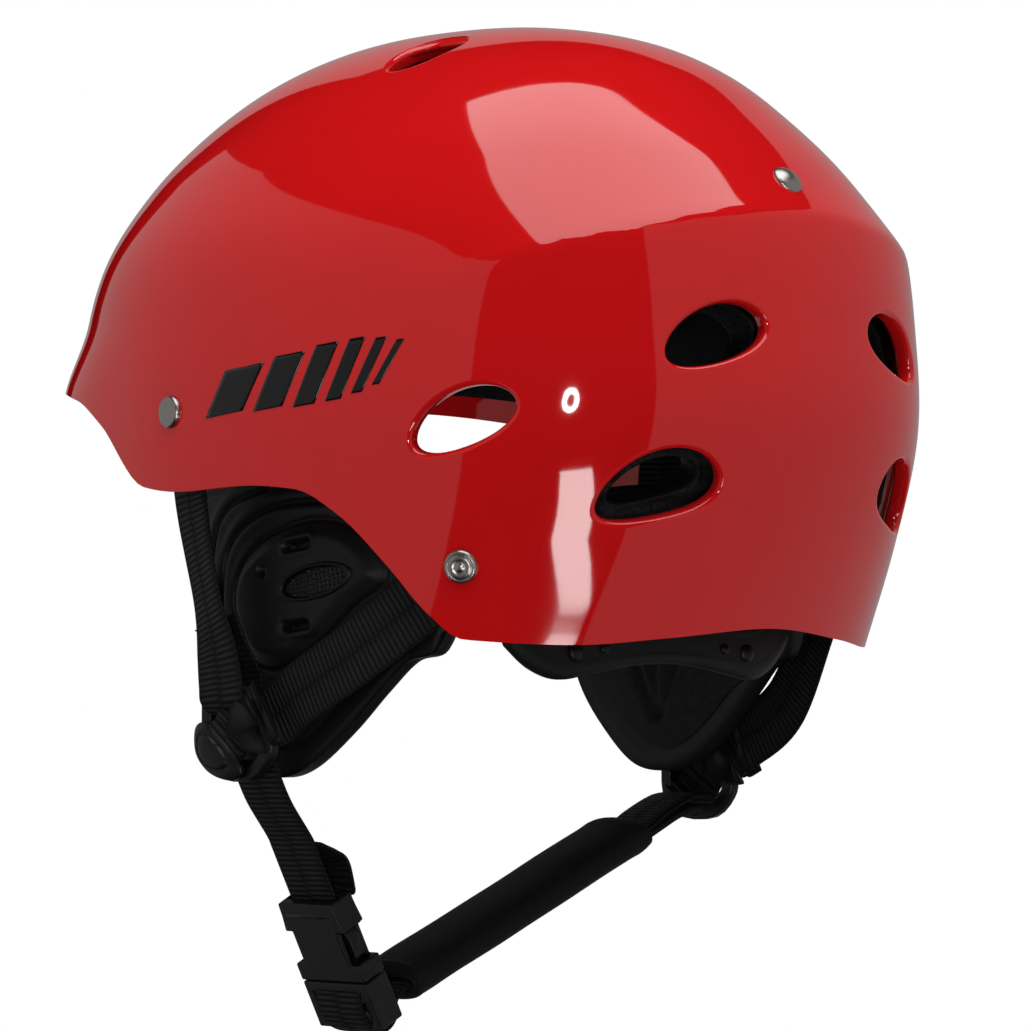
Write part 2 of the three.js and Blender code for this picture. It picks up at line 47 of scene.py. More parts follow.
SIDES = (("left", 1), ("right", -1))

# ---- driving dimensions of the skin ----
SHELL_TOP = 27
LEVEL_STEP = 2  # profile level i lies LEVEL_STEP * i * i below the crown
FRONT_RADII = np.array([0, 28, 53.5, 76.5, 97.5, 116, 130.5, 138, 140, 139, 135.5])
SIDE_RADII = np.array([0, 19, 38, 56.5, 73.5, 89.5, 102.5, 108.5, 110.5, 108.5, 106])
REAR_RADII = np.array([0, 35.5, 66, 89, 107, 124, 136.5, 143, 144.5, 134.5, 117.5])
REAR_BOXINESS = 0.05
RIM_ANGLES = (0, 40, 56, 65, 76, 84, 96, 104, 110, 118, 124, 130, 146, 160, 180)
RIM_DEPTHS = (111, 112.5, 117, 126, 145.5, 147.5, 146.5, 148, 155, 171, 184, 192, 193.5, 191.5, 188.5)
CREASE = {
    "depth": 66, "drop": 44, "height": 5, "above": 14, "below": 22, "round": 1.6, "from": 112, "to": 150,
}
VISOR = {"reach": 5, "from": 42, "to": 72, "top": 90, "bottom": 116}
SHELL_WALL = 3.2
STRAP_DEPTH = 5.4
LINER_OUT = 7
LINER_IN = 19
PAD_IN = 26.5

VENTS = (
    {"angle": 126.4, "depth": 127, "long": 34, "short": 16.2, "tilt": 21},
    {"angle": 160, "depth": 102.5, "long": 34.5, "short": 16.4, "tilt": 18},
    # This vent's foam factor narrows the liner's opening under it, so black foam fills the vent: a dark part
    # put where the vent shows shade.
    {"angle": 153, "depth": 146, "long": 38.5, "short": 19.4, "tilt": 16, "foam": -4},
    {"angle": 108, "depth": 11.5, "long": 27, "short": 18, "tilt": 68},
)
FRONT_RIVET = (82.5, 122)
SIDE_RIVET = (128, 169.5)
REAR_RIVET = (180, 55.5)
STRAP_WIDTH = 19.6
STRAP_THICK = 1.7
DIVIDERS = {"left": (97.5, -0.5, -190), "right": (-97.5, 3, -205)}
LOOP_LIFT = {"left": 2.5, "right": 5.5}  # raises the rear strap's loop clear of the swinging chin strap
LOOP_Y = 3.5
BUCKLE_AT = Vector((59.5, LOOP_Y, -263.7))
BUCKLE_LEAN = math.radians(27.4)


# ---- the skin as a formula over its flat plan ----
def smooth(low, high, x):
    t = np.clip((x - low) / (high - low), 0, 1)
    return t * t * (3 - 2 * t)


def from_front(angle):
    return np.abs((angle + 180) % 360 - 180)


def rim_depth(angle):
    """Depth of the shell's edge below the crown, smooth between its set angles."""
    x, y = np.array(RIM_ANGLES, float), np.array(RIM_DEPTHS, float)
    turn = np.clip(from_front(angle), 0, 180)
    i = np.clip(np.searchsorted(x, turn, side="right") - 1, 0, len(x) - 2)
    slope = np.diff(y) / np.diff(x)
    before, after = slope[:-1], slope[1:]
    safe = np.where(before + after == 0, 1, before + after)
    lean = np.concatenate(([0], np.where(before * after <= 0, 0, 2 * before * after / safe), [0]))
    h = x[i + 1] - x[i]
    t = (turn - x[i]) / h
    rise = y[i + 1] - y[i]
    m0, m1 = lean[i] * h, lean[i + 1] * h
    return y[i] + m0 * t + (3 * rise - 2 * m0 - m1) * t**2 + (m0 + m1 - 2 * rise) * t**3


def profile(radii, s):
    s = np.clip(s, 0, len(radii) - 1 - 1e-9)
    i = np.floor(s).astype(int)
    t = s - i
    known = np.concatenate(([-radii[1]], radii, [2 * radii[-1] - radii[-2]]))
    a, b, c, d = (known[i + k] for k in range(4))
    v0, v1 = (c - a) / 2, (d - b) / 2
    return (2 * b - 2 * c + v0 + v1) * t**3 + (3 * c - 3 * b - 2 * v0 - v1) * t**2 + v0 * t + b


def stands_out(angle, depth, visor):
    line = CREASE["depth"] + CREASE["drop"] * (1 + np.cos(np.radians(angle)))
    away = np.hypot(depth - line, CREASE["round"]) - CREASE["round"]
    fall = np.where(depth < line, CREASE["above"], CREASE["below"])
    crease = CREASE["height"] * smooth(CREASE["from"], CREASE["to"], from_front(angle)) * np.exp(-away / fall)
    over = 1 - smooth(VISOR["from"], VISOR["to"], from_front(angle))
    return crease + visor * VISOR["reach"] * over * smooth(VISOR["top"], VISOR["bottom"], depth)


def skin(flat, visor=1, plain=False):
    """Points of the outer skin over flat plan points, an array of x, y."""
    flat = np.asarray(flat, float).reshape(-1, 2)
    s = np.maximum(np.hypot(flat[:, 0], flat[:, 1]), 1e-7)
    depth = LEVEL_STEP * s * s
    sin, c = flat[:, 0] / s, -flat[:, 1] / s
    angle = np.degrees(np.arctan2(sin, c))
    f, side, r = profile(FRONT_RADII, s), profile(SIDE_RADII, s), profile(REAR_RADII, s)
    bulge = 1 + REAR_BOXINESS * (2 * sin * c) ** 2 * (1 - c) / 2
    x = side * sin * bulge
    y = -((f + r) / 2 * c + (f - r) / 2 * c * c * (3 - c * c) / 2) * bulge
    out = 0 if plain else stands_out(angle, depth, visor)
    k = 1 + out / np.maximum(np.hypot(x, y), 1)
    return np.stack([x * k, y * k, SHELL_TOP - depth], axis=1)


def skin_normals(flat, **how):
    flat = np.asarray(flat, float).reshape(-1, 2)
    step = 2e-3
    across = skin(flat + [step, 0], **how) - skin(flat - [step, 0], **how)
    along = skin(flat + [0, step], **how) - skin(flat - [0, step], **how)
    normal = np.cross(across, along)
    return normal / np.maximum(np.linalg.norm(normal, axis=1, keepdims=True), 1e-12)


def under(flat, inward, **how):
    return skin(flat, **how) - skin_normals(flat, **how) * np.reshape(inward, (-1, 1))


def flat_at(angle, depth):
    """Flat plan point at an angle from the front and a depth below the crown."""
    s = np.sqrt(np.maximum(depth, 0) / LEVEL_STEP)
    a = np.radians(angle)
    return np.stack([s * np.sin(a), -s * np.cos(a)], axis=-1)


def spot_frame(angle, depth, side=1, tilt=0, plain=False):
    """Place, long axis, short axis and normal on the skin. The long axis rises to the rear by tilt."""
    here = flat_at(angle, depth)
    point = Vector(skin(here, plain=plain)[0])
    normal = Vector(skin_normals(here, plain=plain)[0])
    back = (Vector(skin(flat_at(angle + 0.1, depth), plain=plain)[0]) - point).normalized()
    up = normal.cross(back)
    a = math.radians(tilt)
    long_axis = back * math.cos(a) + up * math.sin(a)
    short_axis = normal.cross(long_axis)
    flip = Vector((side, 1, 1))
    return tuple(Vector(p * q for p, q in zip(v, flip)) for v in (point, long_axis, short_axis, normal))


# ---- turning bmeshes into pieces ----
def as_piece(bm, name, body, material, slot, replaces=(), normals=None, outward=False):
    """A finished object whose place is in its mesh. The bmesh is in millimetres."""
    if outward:
        bmesh.ops.recalc_face_normals(bm, faces=bm.faces)
    bmesh.ops.scale(bm, vec=(MM, MM, MM), verts=bm.verts)
    mesh = bpy.data.meshes.new(name)
    bm.normal_update()
    own = [v.normal.copy() for v in bm.verts]
    for face in bm.faces:
        face.smooth = True
    bm.to_mesh(mesh)
    bm.free()
    piece = bpy.data.objects.new(name, mesh)
    bpy.context.scene.collection.objects.link(piece)
    mesh.materials.append(material)
    if normals is not None:
        mesh.normals_split_custom_set_from_vertices([n if n is not None else o for n, o in zip(normals, own)])
    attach(piece, body)
    if replaces:
        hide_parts(*replaces)
    return piece


def coordinates(bm):
    return np.array([v.co for v in bm.verts], float).reshape(-1, 3)


def place(bm, points):
    for vert, point in zip(bm.verts, points):
        vert.co = point


def sharp_edges(bm, degrees=35):
    return [e for e in bm.edges if e.is_manifold and e.calc_face_angle(0) > math.radians(degrees)]


def soften(bm, width, segments=3, degrees=35):
    bmesh.ops.bevel(
        bm, geom=sharp_edges(bm, degrees), offset=width, offset_type="OFFSET", affect="EDGES",
        segments=segments, profile=0.5, material=-1, clamp_overlap=True,
    )


def spline(points, steps, closed=False):
    """A smooth line through the given points, with equally many steps between each two."""
    p = np.asarray(points, float)
    n = len(p)
    spans = n if closed else n - 1
    t = np.linspace(0, spans, steps, endpoint=not closed)
    i = np.minimum(np.floor(t).astype(int), spans - 1)
    u = (t - i)[:, None]
    pick = (lambda k: p[k % n]) if closed else (lambda k: p[np.clip(k, 0, n - 1)])
    a, b, c, d = pick(i - 1), pick(i), pick(i + 1), pick(i + 2)
    return 0.5 * (2 * b + (c - a) * u + (2 * a - 5 * b + 4 * c - d) * u**2 + (3 * b - a - 3 * c + d) * u**3)


def closed_chain(points):
    return np.vstack([points, points[:1]])


def run_lengths(points):
    return np.concatenate(([0], np.cumsum(np.linalg.norm(np.diff(points, axis=0), axis=1))))


def directions(route):
    runs = np.gradient(route, axis=0)
    return runs / np.linalg.norm(runs, axis=1, keepdims=True)


# ---- domes with rolled vents ----
def vent_plan(vent, side, plain):
    """The vent's centre in the flat plan, and the matrix from its own millimetres to the flat plan."""
    centre = flat_at(vent["angle"], vent["depth"])
    step = 1e-3
    slopes = [
        (skin(centre + way, plain=plain)[0] - skin(centre - way, plain=plain)[0]) / (2 * step)
        for way in np.eye(2) * step
    ]
    _, long_axis, short_axis, _ = spot_frame(vent["angle"], vent["depth"], tilt=vent["tilt"], plain=plain)
    to_flat = np.linalg.pinv(np.stack(slopes, axis=1)) @ np.array([long_axis, short_axis]).T
    mirror = np.diag([side, 1])
    return centre * [side, 1], mirror @ to_flat


def oval_point(plan, a, b, turn, out=0):
    centre, to_flat = plan
    outward = np.array([b * np.cos(turn), a * np.sin(turn)])
    own = np.array([a * np.cos(turn), b * np.sin(turn)]) + out * outward / np.linalg.norm(outward)
    return centre + to_flat @ own


def spin(bm, geom, steps):
    bmesh.ops.spin(
        bm, geom=geom, cent=(0, 0, 0), axis=(0, 0, 1), angle=2 * math.pi, steps=steps, use_merge=True,
    )


def flat_disc(rings, segments, edge):
    """The dome's flat plan: a spoke spun round, scaled so that its last ring is the edge's depth."""
    bm = bmesh.new()
    spoke = [bm.verts.new((k / rings, 0, 0)) for k in range(rings + 1)]
    lines = [bm.edges.new(pair) for pair in zip(spoke, spoke[1:])]
    spin(bm, spoke + lines, segments)
    bmesh.ops.remove_doubles(bm, verts=bm.verts, dist=1e-5)
    co = coordinates(bm)
    angle = np.degrees(np.arctan2(co[:, 0], -co[:, 1]))
    co[:, :2] *= np.sqrt(edge(angle) / LEVEL_STEP)[:, None]
    place(bm, co)
    bm.normal_update()
    down = [f for f in bm.faces if f.normal.z < 0]
    bmesh.ops.reverse_faces(bm, faces=down)
    return bm


def rim_loops(bm):
    """Every open rim of the mesh, each as its vertices in order. Pinched vertices are cut free first."""
    while True:
        pinched = [v for v in bm.verts if sum(e.is_boundary for e in v.link_edges) > 2]
        if not pinched:
            break
        bmesh.ops.delete(bm, geom=list({f for v in pinched for f in v.link_faces}), context="FACES")
    left = {v for v in bm.verts if v.is_boundary}
    loops = []
    while left:
        here = next(v for v in bm.verts if v in left)
        order = []
        while here is not None:
            order.append(here)
            left.discard(here)
            onward = [e.other_vert(here) for e in here.link_edges if e.is_boundary]
            here = next((v for v in onward if v in left), None)
        loops.append(order)
    return loops


def vent_reach(plan, a, b):
    """How far out a flat plan point is from a vent, 1 on its oval, and its turn round the oval."""
    centre, to_flat = plan
    back = np.linalg.inv(to_flat)

    def reach(co):
        own = back @ (np.array(co[:2]) - centre) / (a, b)
        return math.hypot(*own), math.atan2(own[1], own[0])

    return reach


def open_vents(bm, ovals):
    """Takes the ovals' faces out of the flat plan. Gives each oval's rim vertices and their turns, and the
    dome's own rim."""
    reaches = [vent_reach(*oval) for oval in ovals]
    for low, high in ((0.35, 1.7), (0.6, 1.35)):
        for reach in reaches:
            near = [f for f in bm.faces if low < reach(f.calc_center_median())[0] < high]
            edges = list({e for f in near for e in f.edges})
            bmesh.ops.subdivide_edges(bm, edges=edges, cuts=1, use_grid_fill=True)
    for reach in reaches:
        inside = {v for v in bm.verts if reach(v.co)[0] < 1.03}
        bmesh.ops.delete(bm, geom=list({f for v in inside for f in v.link_faces}), context="FACES")
    rims = rim_loops(bm)
    found = []
    for oval, reach in zip(ovals, reaches):
        order = min(rims, key=lambda rim: np.mean([reach(v.co)[0] for v in rim]))
        turns = np.unwrap([reach(v.co)[1] for v in order])
        way = math.copysign(1, turns[-1] - turns[0])
        even = way * 2 * math.pi * np.arange(len(order)) / len(order)
        even += np.mean(turns - even)
        for v, turn in zip(order, even):
            v.co = (*oval_point(*oval, turn), 0)
        ring = [v for v in bm.verts if not v.is_boundary and reach(v.co)[0] < 1.4]
        for _ in range(4):
            bmesh.ops.smooth_vert(bm, verts=ring, factor=0.5, use_axis_x=True, use_axis_y=True)
        found.append((oval, order, even))
    return found, max(rims, key=len)


def next_loop(bm, order, places):
    """Extrudes a closed loop once and puts its new vertices at the given places."""
    loop = [bm.edges.get((a, b)) for a, b in zip(order, order[1:] + order[:1])]
    made = bmesh.ops.extrude_edge_only(bm, edges=loop)["geom"]
    new = {g for g in made if isinstance(g, bmesh.types.BMVert)}
    follow = [next(e.other_vert(v) for e in v.link_edges if e.other_vert(v) in new) for v in order]
    for v, p in zip(follow, places):
        v.co = p
    return follow


def weld(bm, order, onto):
    bmesh.ops.weld_verts(bm, targetmap=dict(zip(order, onto)))


def vent_ovals(edge, roll, grow, plain):
    """The ovals to open in a dome: plan, half length and half height of each vent above its edge."""
    ovals = []
    for _, side in SIDES:
        for vent in VENTS:
            if vent["depth"] < edge(vent["angle"]):
                wider = grow * vent.get("foam", 1) + roll
                plan = vent_plan(vent, side, plain)
                ovals.append((plan, vent["long"] / 2 + wider, vent["short"] / 2 + wider))
    return ovals


def dome_piece(name, edge, layers, grid, roll, lip, rim_steps, finish, grow=0, plain=False, relief=None):
    """A closed dome between two layers, with rolled vents and a rounded rim."""
    outer, inner = layers
    rim_round = rim_steps[0][0]
    bm = flat_disc(*grid, lambda angle: edge(angle) - rim_round)
    loops, rim = open_vents(bm, vent_ovals(edge, roll, grow, plain))
    outside = list(bm.verts)
    copy = bmesh.ops.duplicate(bm, geom=list(bm.verts) + list(bm.edges) + list(bm.faces))
    twin = copy["vert_map"]
    for v in outside:
        twin[v].co.z = inner - outer
    bmesh.ops.reverse_faces(bm, faces=[g for g in copy["geom"] if isinstance(g, bmesh.types.BMFace)])
    for oval, order, turns in loops:
        twins = [twin[v] for v in order]
        for out, depth in lip:
            order = next_loop(bm, order, [(*oval_point(*oval, t, out), depth) for t in turns])
        weld(bm, next_loop(bm, order, [v.co.copy() for v in twins]), twins)
    base = [(math.hypot(*v.co[:2]), math.atan2(v.co.y, v.co.x)) for v in rim]
    twins, order = [twin[v] for v in rim], rim
    for out, depth in rim_steps[1:]:
        grown = [math.sqrt(s * s + out / LEVEL_STEP) for s, _ in base]
        spots = [(g * math.cos(t), g * math.sin(t), depth) for g, (_, t) in zip(grown, base)]
        order = next_loop(bm, order, spots)
    weld(bm, next_loop(bm, order, [v.co.copy() for v in twins]), twins)
    bm.verts.index_update()
    co = coordinates(bm)
    flat, inward = co[:, :2], co[:, 2].copy()
    analytic = np.abs(inward) < 1e-6
    if relief is not None:
        inward = relief(flat, inward)
    place(bm, under(flat, outer + inward, plain=plain))
    normals = None
    if relief is None:
        exact = skin_normals(flat, plain=plain)
        normals = [Vector(n) if a else None for n, a in zip(exact, analytic)]
    return as_piece(bm, name, "helmet", *finish, normals=normals)


def quarter(radius, steps):
    """Points of a rounded edge: how far it goes past the start, and how deep."""
    turns = np.linspace(0, math.pi / 2, steps + 1)[1:]
    return [(-radius * math.sin(t), radius * (1 - math.cos(t))) for t in turns]


# ---- node groups that several finishes use ----
def group(name, inputs, outputs):
    tree = bpy.data.node_groups.new(name, "ShaderNodeTree")
    for label, kind, value in inputs:
        socket = tree.interface.new_socket(label, in_out="INPUT", socket_type=kind)
        if value is not None:
            socket.default_value = value
    for label, kind in outputs:
        tree.interface.new_socket(label, in_out="OUTPUT", socket_type=kind)
    return tree, tree.nodes.new("NodeGroupInput"), tree.nodes.new("NodeGroupOutput")


FLOAT, VECTOR = "NodeSocketFloat", "NodeSocketVector"


def math_node(tree, operation, a, b=None, c=None, clamp=False):
    node = tree.nodes.new("ShaderNodeMath")
    node.operation = operation
    node.use_clamp = clamp
    for socket, value in zip(node.inputs, (a, b, c)):
        if value is None:
            continue
        if isinstance(value, (int, float)):
            socket.default_value = value
        else:
            tree.links.new(value, socket)
    return node.outputs[0]


def noise(tree, vector, scale, detail=3, roughness=0.55):
    node = tree.nodes.new("ShaderNodeTexNoise")
    tree.links.new(vector, node.inputs["Vector"])
    if isinstance(scale, (int, float)):
        node.inputs["Scale"].default_value = scale
    else:
        tree.links.new(scale, node.inputs["Scale"])
    node.inputs["Detail"].default_value = detail
    node.inputs["Roughness"].default_value = roughness
    return node.outputs["Fac"]


def remap(tree, value, low, high, to_low=0.0, to_high=1.0):
    node = tree.nodes.new("ShaderNodeMapRange")
    node.clamp = True
    tree.links.new(value, node.inputs["Value"])
    for label, number in (("From Min", low), ("From Max", high), ("To Min", to_low), ("To Max", to_high)):
        node.inputs[label].default_value = number
    return node.outputs["Result"]


def mixed(tree, factor, first, second):
    node = tree.nodes.new("ShaderNodeMix")
    node.data_type = "RGBA"
    for socket, value in ((node.inputs[0], factor), (node.inputs[6], first), (node.inputs[7], second)):
        if isinstance(value, (int, float)):
            socket.default_value = value
        elif isinstance(value, tuple):
            socket.default_value = (*value, 1)
        else:
            tree.links.new(value, socket)
    return node.outputs[2]


def make_grain():
    """Fine moulded or sprayed grain: a height, and a slow cloudiness for colour."""
    tree, i, o = group("moulded_grain", [("Vector", VECTOR, None), ("Grain Scale", FLOAT, 900.0)],
                       [("Height", FLOAT), ("Cloud", FLOAT)])
    vector = i.outputs["Vector"]
    fine = noise(tree, vector, i.outputs["Grain Scale"], 4)
    broad = noise(tree, vector, 35.0, 2)
    tree.links.new(fine, o.inputs["Height"])
    tree.links.new(remap(tree, broad, 0.35, 0.65), o.inputs["Cloud"])
    return tree


def make_edge_wear():
    """A mask that is brighter on worn outer edges, broken up by noise."""
    tree, i, o = group("edge_wear", [("Vector", VECTOR, None)], [("Mask", FLOAT)])
    geometry = tree.nodes.new("ShaderNodeNewGeometry")
    edge = remap(tree, geometry.outputs["Pointiness"], 0.52, 0.6)
    broken = remap(tree, noise(tree, i.outputs["Vector"], 240.0, 3), 0.4, 0.62)
    tree.links.new(math_node(tree, "MULTIPLY", edge, broken), o.inputs["Mask"])
    return tree


def make_dust():
    """Sparse pale specks and a thin film that settles on faces looking up."""
    tree, i, o = group("settled_dust", [("Vector", VECTOR, None)], [("Mask", FLOAT)])
    geometry = tree.nodes.new("ShaderNodeNewGeometry")
    split = tree.nodes.new("ShaderNodeSeparateXYZ")
    tree.links.new(geometry.outputs["Normal"], split.inputs[0])
    up = remap(tree, split.outputs["Z"], 0.0, 1.0, 0.35, 1.0)
    specks = remap(tree, noise(tree, i.outputs["Vector"], 1500.0, 1), 0.74, 0.8)
    film = remap(tree, noise(tree, i.outputs["Vector"], 60.0, 4), 0.5, 0.8, 0.0, 0.25)
    both = math_node(tree, "ADD", specks, film, clamp=True)
    tree.links.new(math_node(tree, "MULTIPLY", both, up), o.inputs["Mask"])
    return tree


def make_ribbed_weave():
    """Webbing: ribs across the strap and a finer thread along it. UV is in metres, U across and V along."""
    tree, i, o = group("ribbed_weave", [("UV", VECTOR, None), ("Rib", FLOAT, 1.3), ("Thread", FLOAT, 0.8)],
                       [("Height", FLOAT), ("Shade", FLOAT)])
    split = tree.nodes.new("ShaderNodeSeparateXYZ")
    tree.links.new(i.outputs["UV"], split.inputs[0])

    def turns(coordinate, period):
        return math_node(tree, "DIVIDE", math_node(tree, "MULTIPLY", coordinate, 2000 * math.pi), period)

    rib_turns = turns(split.outputs["Y"], i.outputs["Rib"])
    thread_turns = turns(split.outputs["X"], i.outputs["Thread"])
    half_sine = math_node(tree, "SINE", math_node(tree, "MULTIPLY", thread_turns, 0.5))
    stagger = math_node(tree, "SIGN", half_sine)
    shifted = math_node(tree, "MULTIPLY_ADD", stagger, 0.7, rib_turns)
    rib = math_node(tree, "MULTIPLY_ADD", math_node(tree, "SINE", shifted), 0.5, 0.5)
    thread = math_node(tree, "ABSOLUTE", half_sine)
    flat_rib, flat_thread = math_node(tree, "POWER", rib, 0.6), math_node(tree, "POWER", thread, 0.35)
    height = math_node(tree, "MULTIPLY", flat_rib, flat_thread)
    fuzz = noise(tree, i.outputs["UV"], 4000.0, 2)
    tree.links.new(math_node(tree, "MULTIPLY_ADD", fuzz, 0.25, height), o.inputs["Height"])
    # Shade is the weave's height: the colour it tints is darker in the valleys between ribs and threads, as
    # painted shade.
    tree.links.new(height, o.inputs["Shade"])
    return tree


def make_knit():
    """Fine knitted lining cloth in Object coordinates: a height and a shade."""
    tree, i, o = group("knit_cloth", [("Vector", VECTOR, None), ("Stitch Scale", FLOAT, 1100.0)],
                       [("Height", FLOAT), ("Shade", FLOAT)])
    cells = tree.nodes.new("ShaderNodeTexVoronoi")
    tree.links.new(i.outputs["Vector"], cells.inputs["Vector"])
    tree.links.new(i.outputs["Stitch Scale"], cells.inputs["Scale"])
    nap = noise(tree, i.outputs["Vector"], 420.0, 4)
    dip = math_node(tree, "SUBTRACT", 1.0, cells.outputs["Distance"])
    tree.links.new(math_node(tree, "MULTIPLY_ADD", nap, 0.6, dip), o.inputs["Height"])
    tree.links.new(remap(tree, nap, 0.3, 0.7), o.inputs["Shade"])
    return tree


GRAIN = make_grain()
EDGE_WEAR = make_edge_wear()
DUST = make_dust()
WEAVE = make_ribbed_weave()
KNIT = make_knit()


class Finish:
    """A material under construction: its tree, its shader and short ways to add effects."""

    def __init__(self, name, colour, roughness, **constants):
        self.material = bpy.data.materials.new(name)
        self.material.use_nodes = True
        self.tree = self.material.node_tree
        self.shader = self.tree.nodes["Principled BSDF"]
        self.colour, self.vector_kind = colour, "Object"
        self.shader.inputs["Base Color"].default_value = (*colour, 1)
        self.shader.inputs["Roughness"].default_value = roughness
        for label, value in constants.items():
            self.shader.inputs[label.replace("_", " ")].default_value = value
        self.where = self.tree.nodes.new("ShaderNodeTexCoord")

    @property
    def at(self):
        return self.where.outputs[self.vector_kind]

    def effect(self, tree, vector=None, **values):
        node = self.tree.nodes.new("ShaderNodeGroup")
        node.node_tree = tree
        self.tree.links.new(vector or self.at, node.inputs[0])
        for label, value in values.items():
            node.inputs[label.replace("_", " ")].default_value = value
        return node.outputs

    def tint(self, factor, other):
        """Mixes the colour so far towards another by a varying factor."""
        socket = self.shader.inputs["Base Color"]
        before = socket.links[0].from_socket if socket.links else self.colour
        self.tree.links.new(mixed(self.tree, factor, before, other), socket)

    def rough(self, factor, low, high):
        self.tree.links.new(remap(self.tree, factor, 0, 1, low, high), self.shader.inputs["Roughness"])

    def bump(self, height, distance, strength=1.0):
        """Adds a height, in millimetres, on top of any bump already there."""
        node = self.tree.nodes.new("ShaderNodeBump")
        node.inputs["Distance"].default_value = distance * MM
        node.inputs["Strength"].default_value = strength
        self.tree.links.new(height, node.inputs["Height"])
        socket = self.shader.inputs["Normal"]
        if socket.links:
            self.tree.links.new(socket.links[0].from_socket, node.inputs["Normal"])
        self.tree.links.new(node.outputs["Normal"], socket)

    def scale(self, value, factor):
        return math_node(self.tree, "MULTIPLY", value, factor)


def shell_red():
    f = Finish("shell_red", (0.66, 0.0075, 0.009), 0.1, Coat_Weight=0.35, Coat_Roughness=0.02)
    orange_peel = noise(f.tree, f.at, 110.0, 2)
    f.bump(orange_peel, 0.012, 0.3)
    cloud = f.effect(GRAIN, Grain_Scale=700.0)["Cloud"]
    f.tint(f.scale(cloud, 0.2), (0.58, 0.006, 0.007))
    dust = f.effect(DUST)["Mask"]
    f.tint(f.scale(dust, 0.012), (0.7, 0.5, 0.48))
    f.rough(dust, 0.05, 0.14)
    return f.material


def moulded(name, colour, roughness, grain=1400.0, depth=0.05, worn=(0.035, 0.035, 0.037), **constants):
    f = Finish(name, colour, roughness, **{"Specular_IOR_Level": 0.3, **constants})
    grain_out = f.effect(GRAIN, Grain_Scale=grain)
    f.tint(f.scale(grain_out["Cloud"], 0.35), tuple(c * 1.5 for c in colour))
    f.tint(f.scale(f.effect(EDGE_WEAR)["Mask"], 0.5), worn)
    f.tint(f.scale(f.effect(DUST)["Mask"], 0.05), (0.09, 0.088, 0.085))
    f.rough(grain_out["Height"], roughness - 0.08, roughness + 0.12)
    f.bump(grain_out["Height"], depth)
    return f.material


def webbing_black():
    f = Finish("webbing_black", (0.0018, 0.0018, 0.002), 0.62, Specular_IOR_Level=0.16)
    f.vector_kind = "UV"
    weave = f.effect(WEAVE, Rib=1.75, Thread=9.4)
    # Painted shade: the weave's valleys are tinted darker and its ribs lighter.
    f.tint(weave["Shade"], (0.017, 0.017, 0.0185))
    f.rough(weave["Shade"], 0.8, 0.5)
    f.vector_kind = "Object"
    f.tint(f.scale(f.effect(DUST)["Mask"], 0.06), (0.08, 0.08, 0.08))
    f.bump(weave["Height"], 0.4)
    return f.material


def lining_cloth(name, colour, bright, stitch=1100.0, sheen=0.04):
    f = Finish(name, colour, 0.85, Sheen_Weight=sheen, Sheen_Roughness=0.5, Specular_IOR_Level=0.15)
    knit = f.effect(KNIT, Stitch_Scale=stitch)
    f.tint(knit["Shade"], bright)
    f.rough(knit["Shade"], 0.75, 0.95)
    f.tint(f.scale(f.effect(DUST)["Mask"], 0.08), (0.08, 0.08, 0.078))
    f.bump(knit["Height"], 0.1)
    return f.material


def liner_foam():
    """Expanded bead foam: rounded beads pressed together."""
    f = Finish("liner_foam", (0.005, 0.005, 0.0055), 0.7, Specular_IOR_Level=0.2)
    beads = f.tree.nodes.new("ShaderNodeTexVoronoi")
    beads.feature = "DISTANCE_TO_EDGE"
    beads.inputs["Scale"].default_value = 420.0
    f.tree.links.new(f.at, beads.inputs["Vector"])
    seam = remap(f.tree, beads.outputs["Distance"], 0.0, 0.12)
    f.tint(seam, (0.009, 0.009, 0.01))
    f.rough(seam, 0.85, 0.6)
    f.bump(seam, 0.06)
    return f.material


def rivet_metal():
    f = Finish("rivet_metal", (0.46, 0.43, 0.41), 0.3, Metallic=1.0)
    brushed = noise(f.tree, f.at, 1600.0, 3)
    f.rough(brushed, 0.2, 0.42)
    f.tint(f.scale(f.effect(EDGE_WEAR)["Mask"], 0.4), (0.7, 0.67, 0.64))
    f.tint(f.scale(f.effect(DUST)["Mask"], 0.3), (0.2, 0.19, 0.18))
    f.bump(brushed, 0.01)
    return f.material


RED = shell_red()
PLASTIC = moulded("plastic_black", (0.0045, 0.0045, 0.005), 0.36)
EAR_FOAM = moulded("ear_foam", (0.0055, 0.0056, 0.0062), 0.48, grain=2200.0, worn=(0.016, 0.016, 0.018))
GRILLE = moulded("grille_black", (0.006, 0.006, 0.0065), 0.45)
# The grille cloth's pale colour is painted light: it stands in for the light that shows through the grille's
# holes.
GRILLE_CLOTH_PAINTED_LIGHT = lining_cloth("grille_cloth_painted_light", (0.75, 0.75, 0.74), (0.85, 0.85, 0.84), 1800.0)
INK = moulded("printed_ink", (0.004, 0.004, 0.0045), 0.12, depth=0.003, worn=(0.012, 0.012, 0.012),
              Coat_Weight=0.35, Coat_Roughness=0.02)
WEBBING = webbing_black()
PAD_CLOTH = lining_cloth("pad_cloth", (0.0055, 0.0055, 0.006), (0.012, 0.012, 0.013))
EAR_CLOTH = lining_cloth("ear_cloth", (0.005, 0.005, 0.0058), (0.012, 0.0122, 0.0135), 900.0)
NEOPRENE = lining_cloth("sleeve_cloth", (0.0034, 0.0034, 0.0038), (0.0062, 0.0062, 0.0068), 1500.0)
THREAD = lining_cloth("stitch_thread", (0.008, 0.008, 0.009), (0.022, 0.022, 0.024), 2400.0)
FOAM = liner_foam()
METAL = rivet_metal()


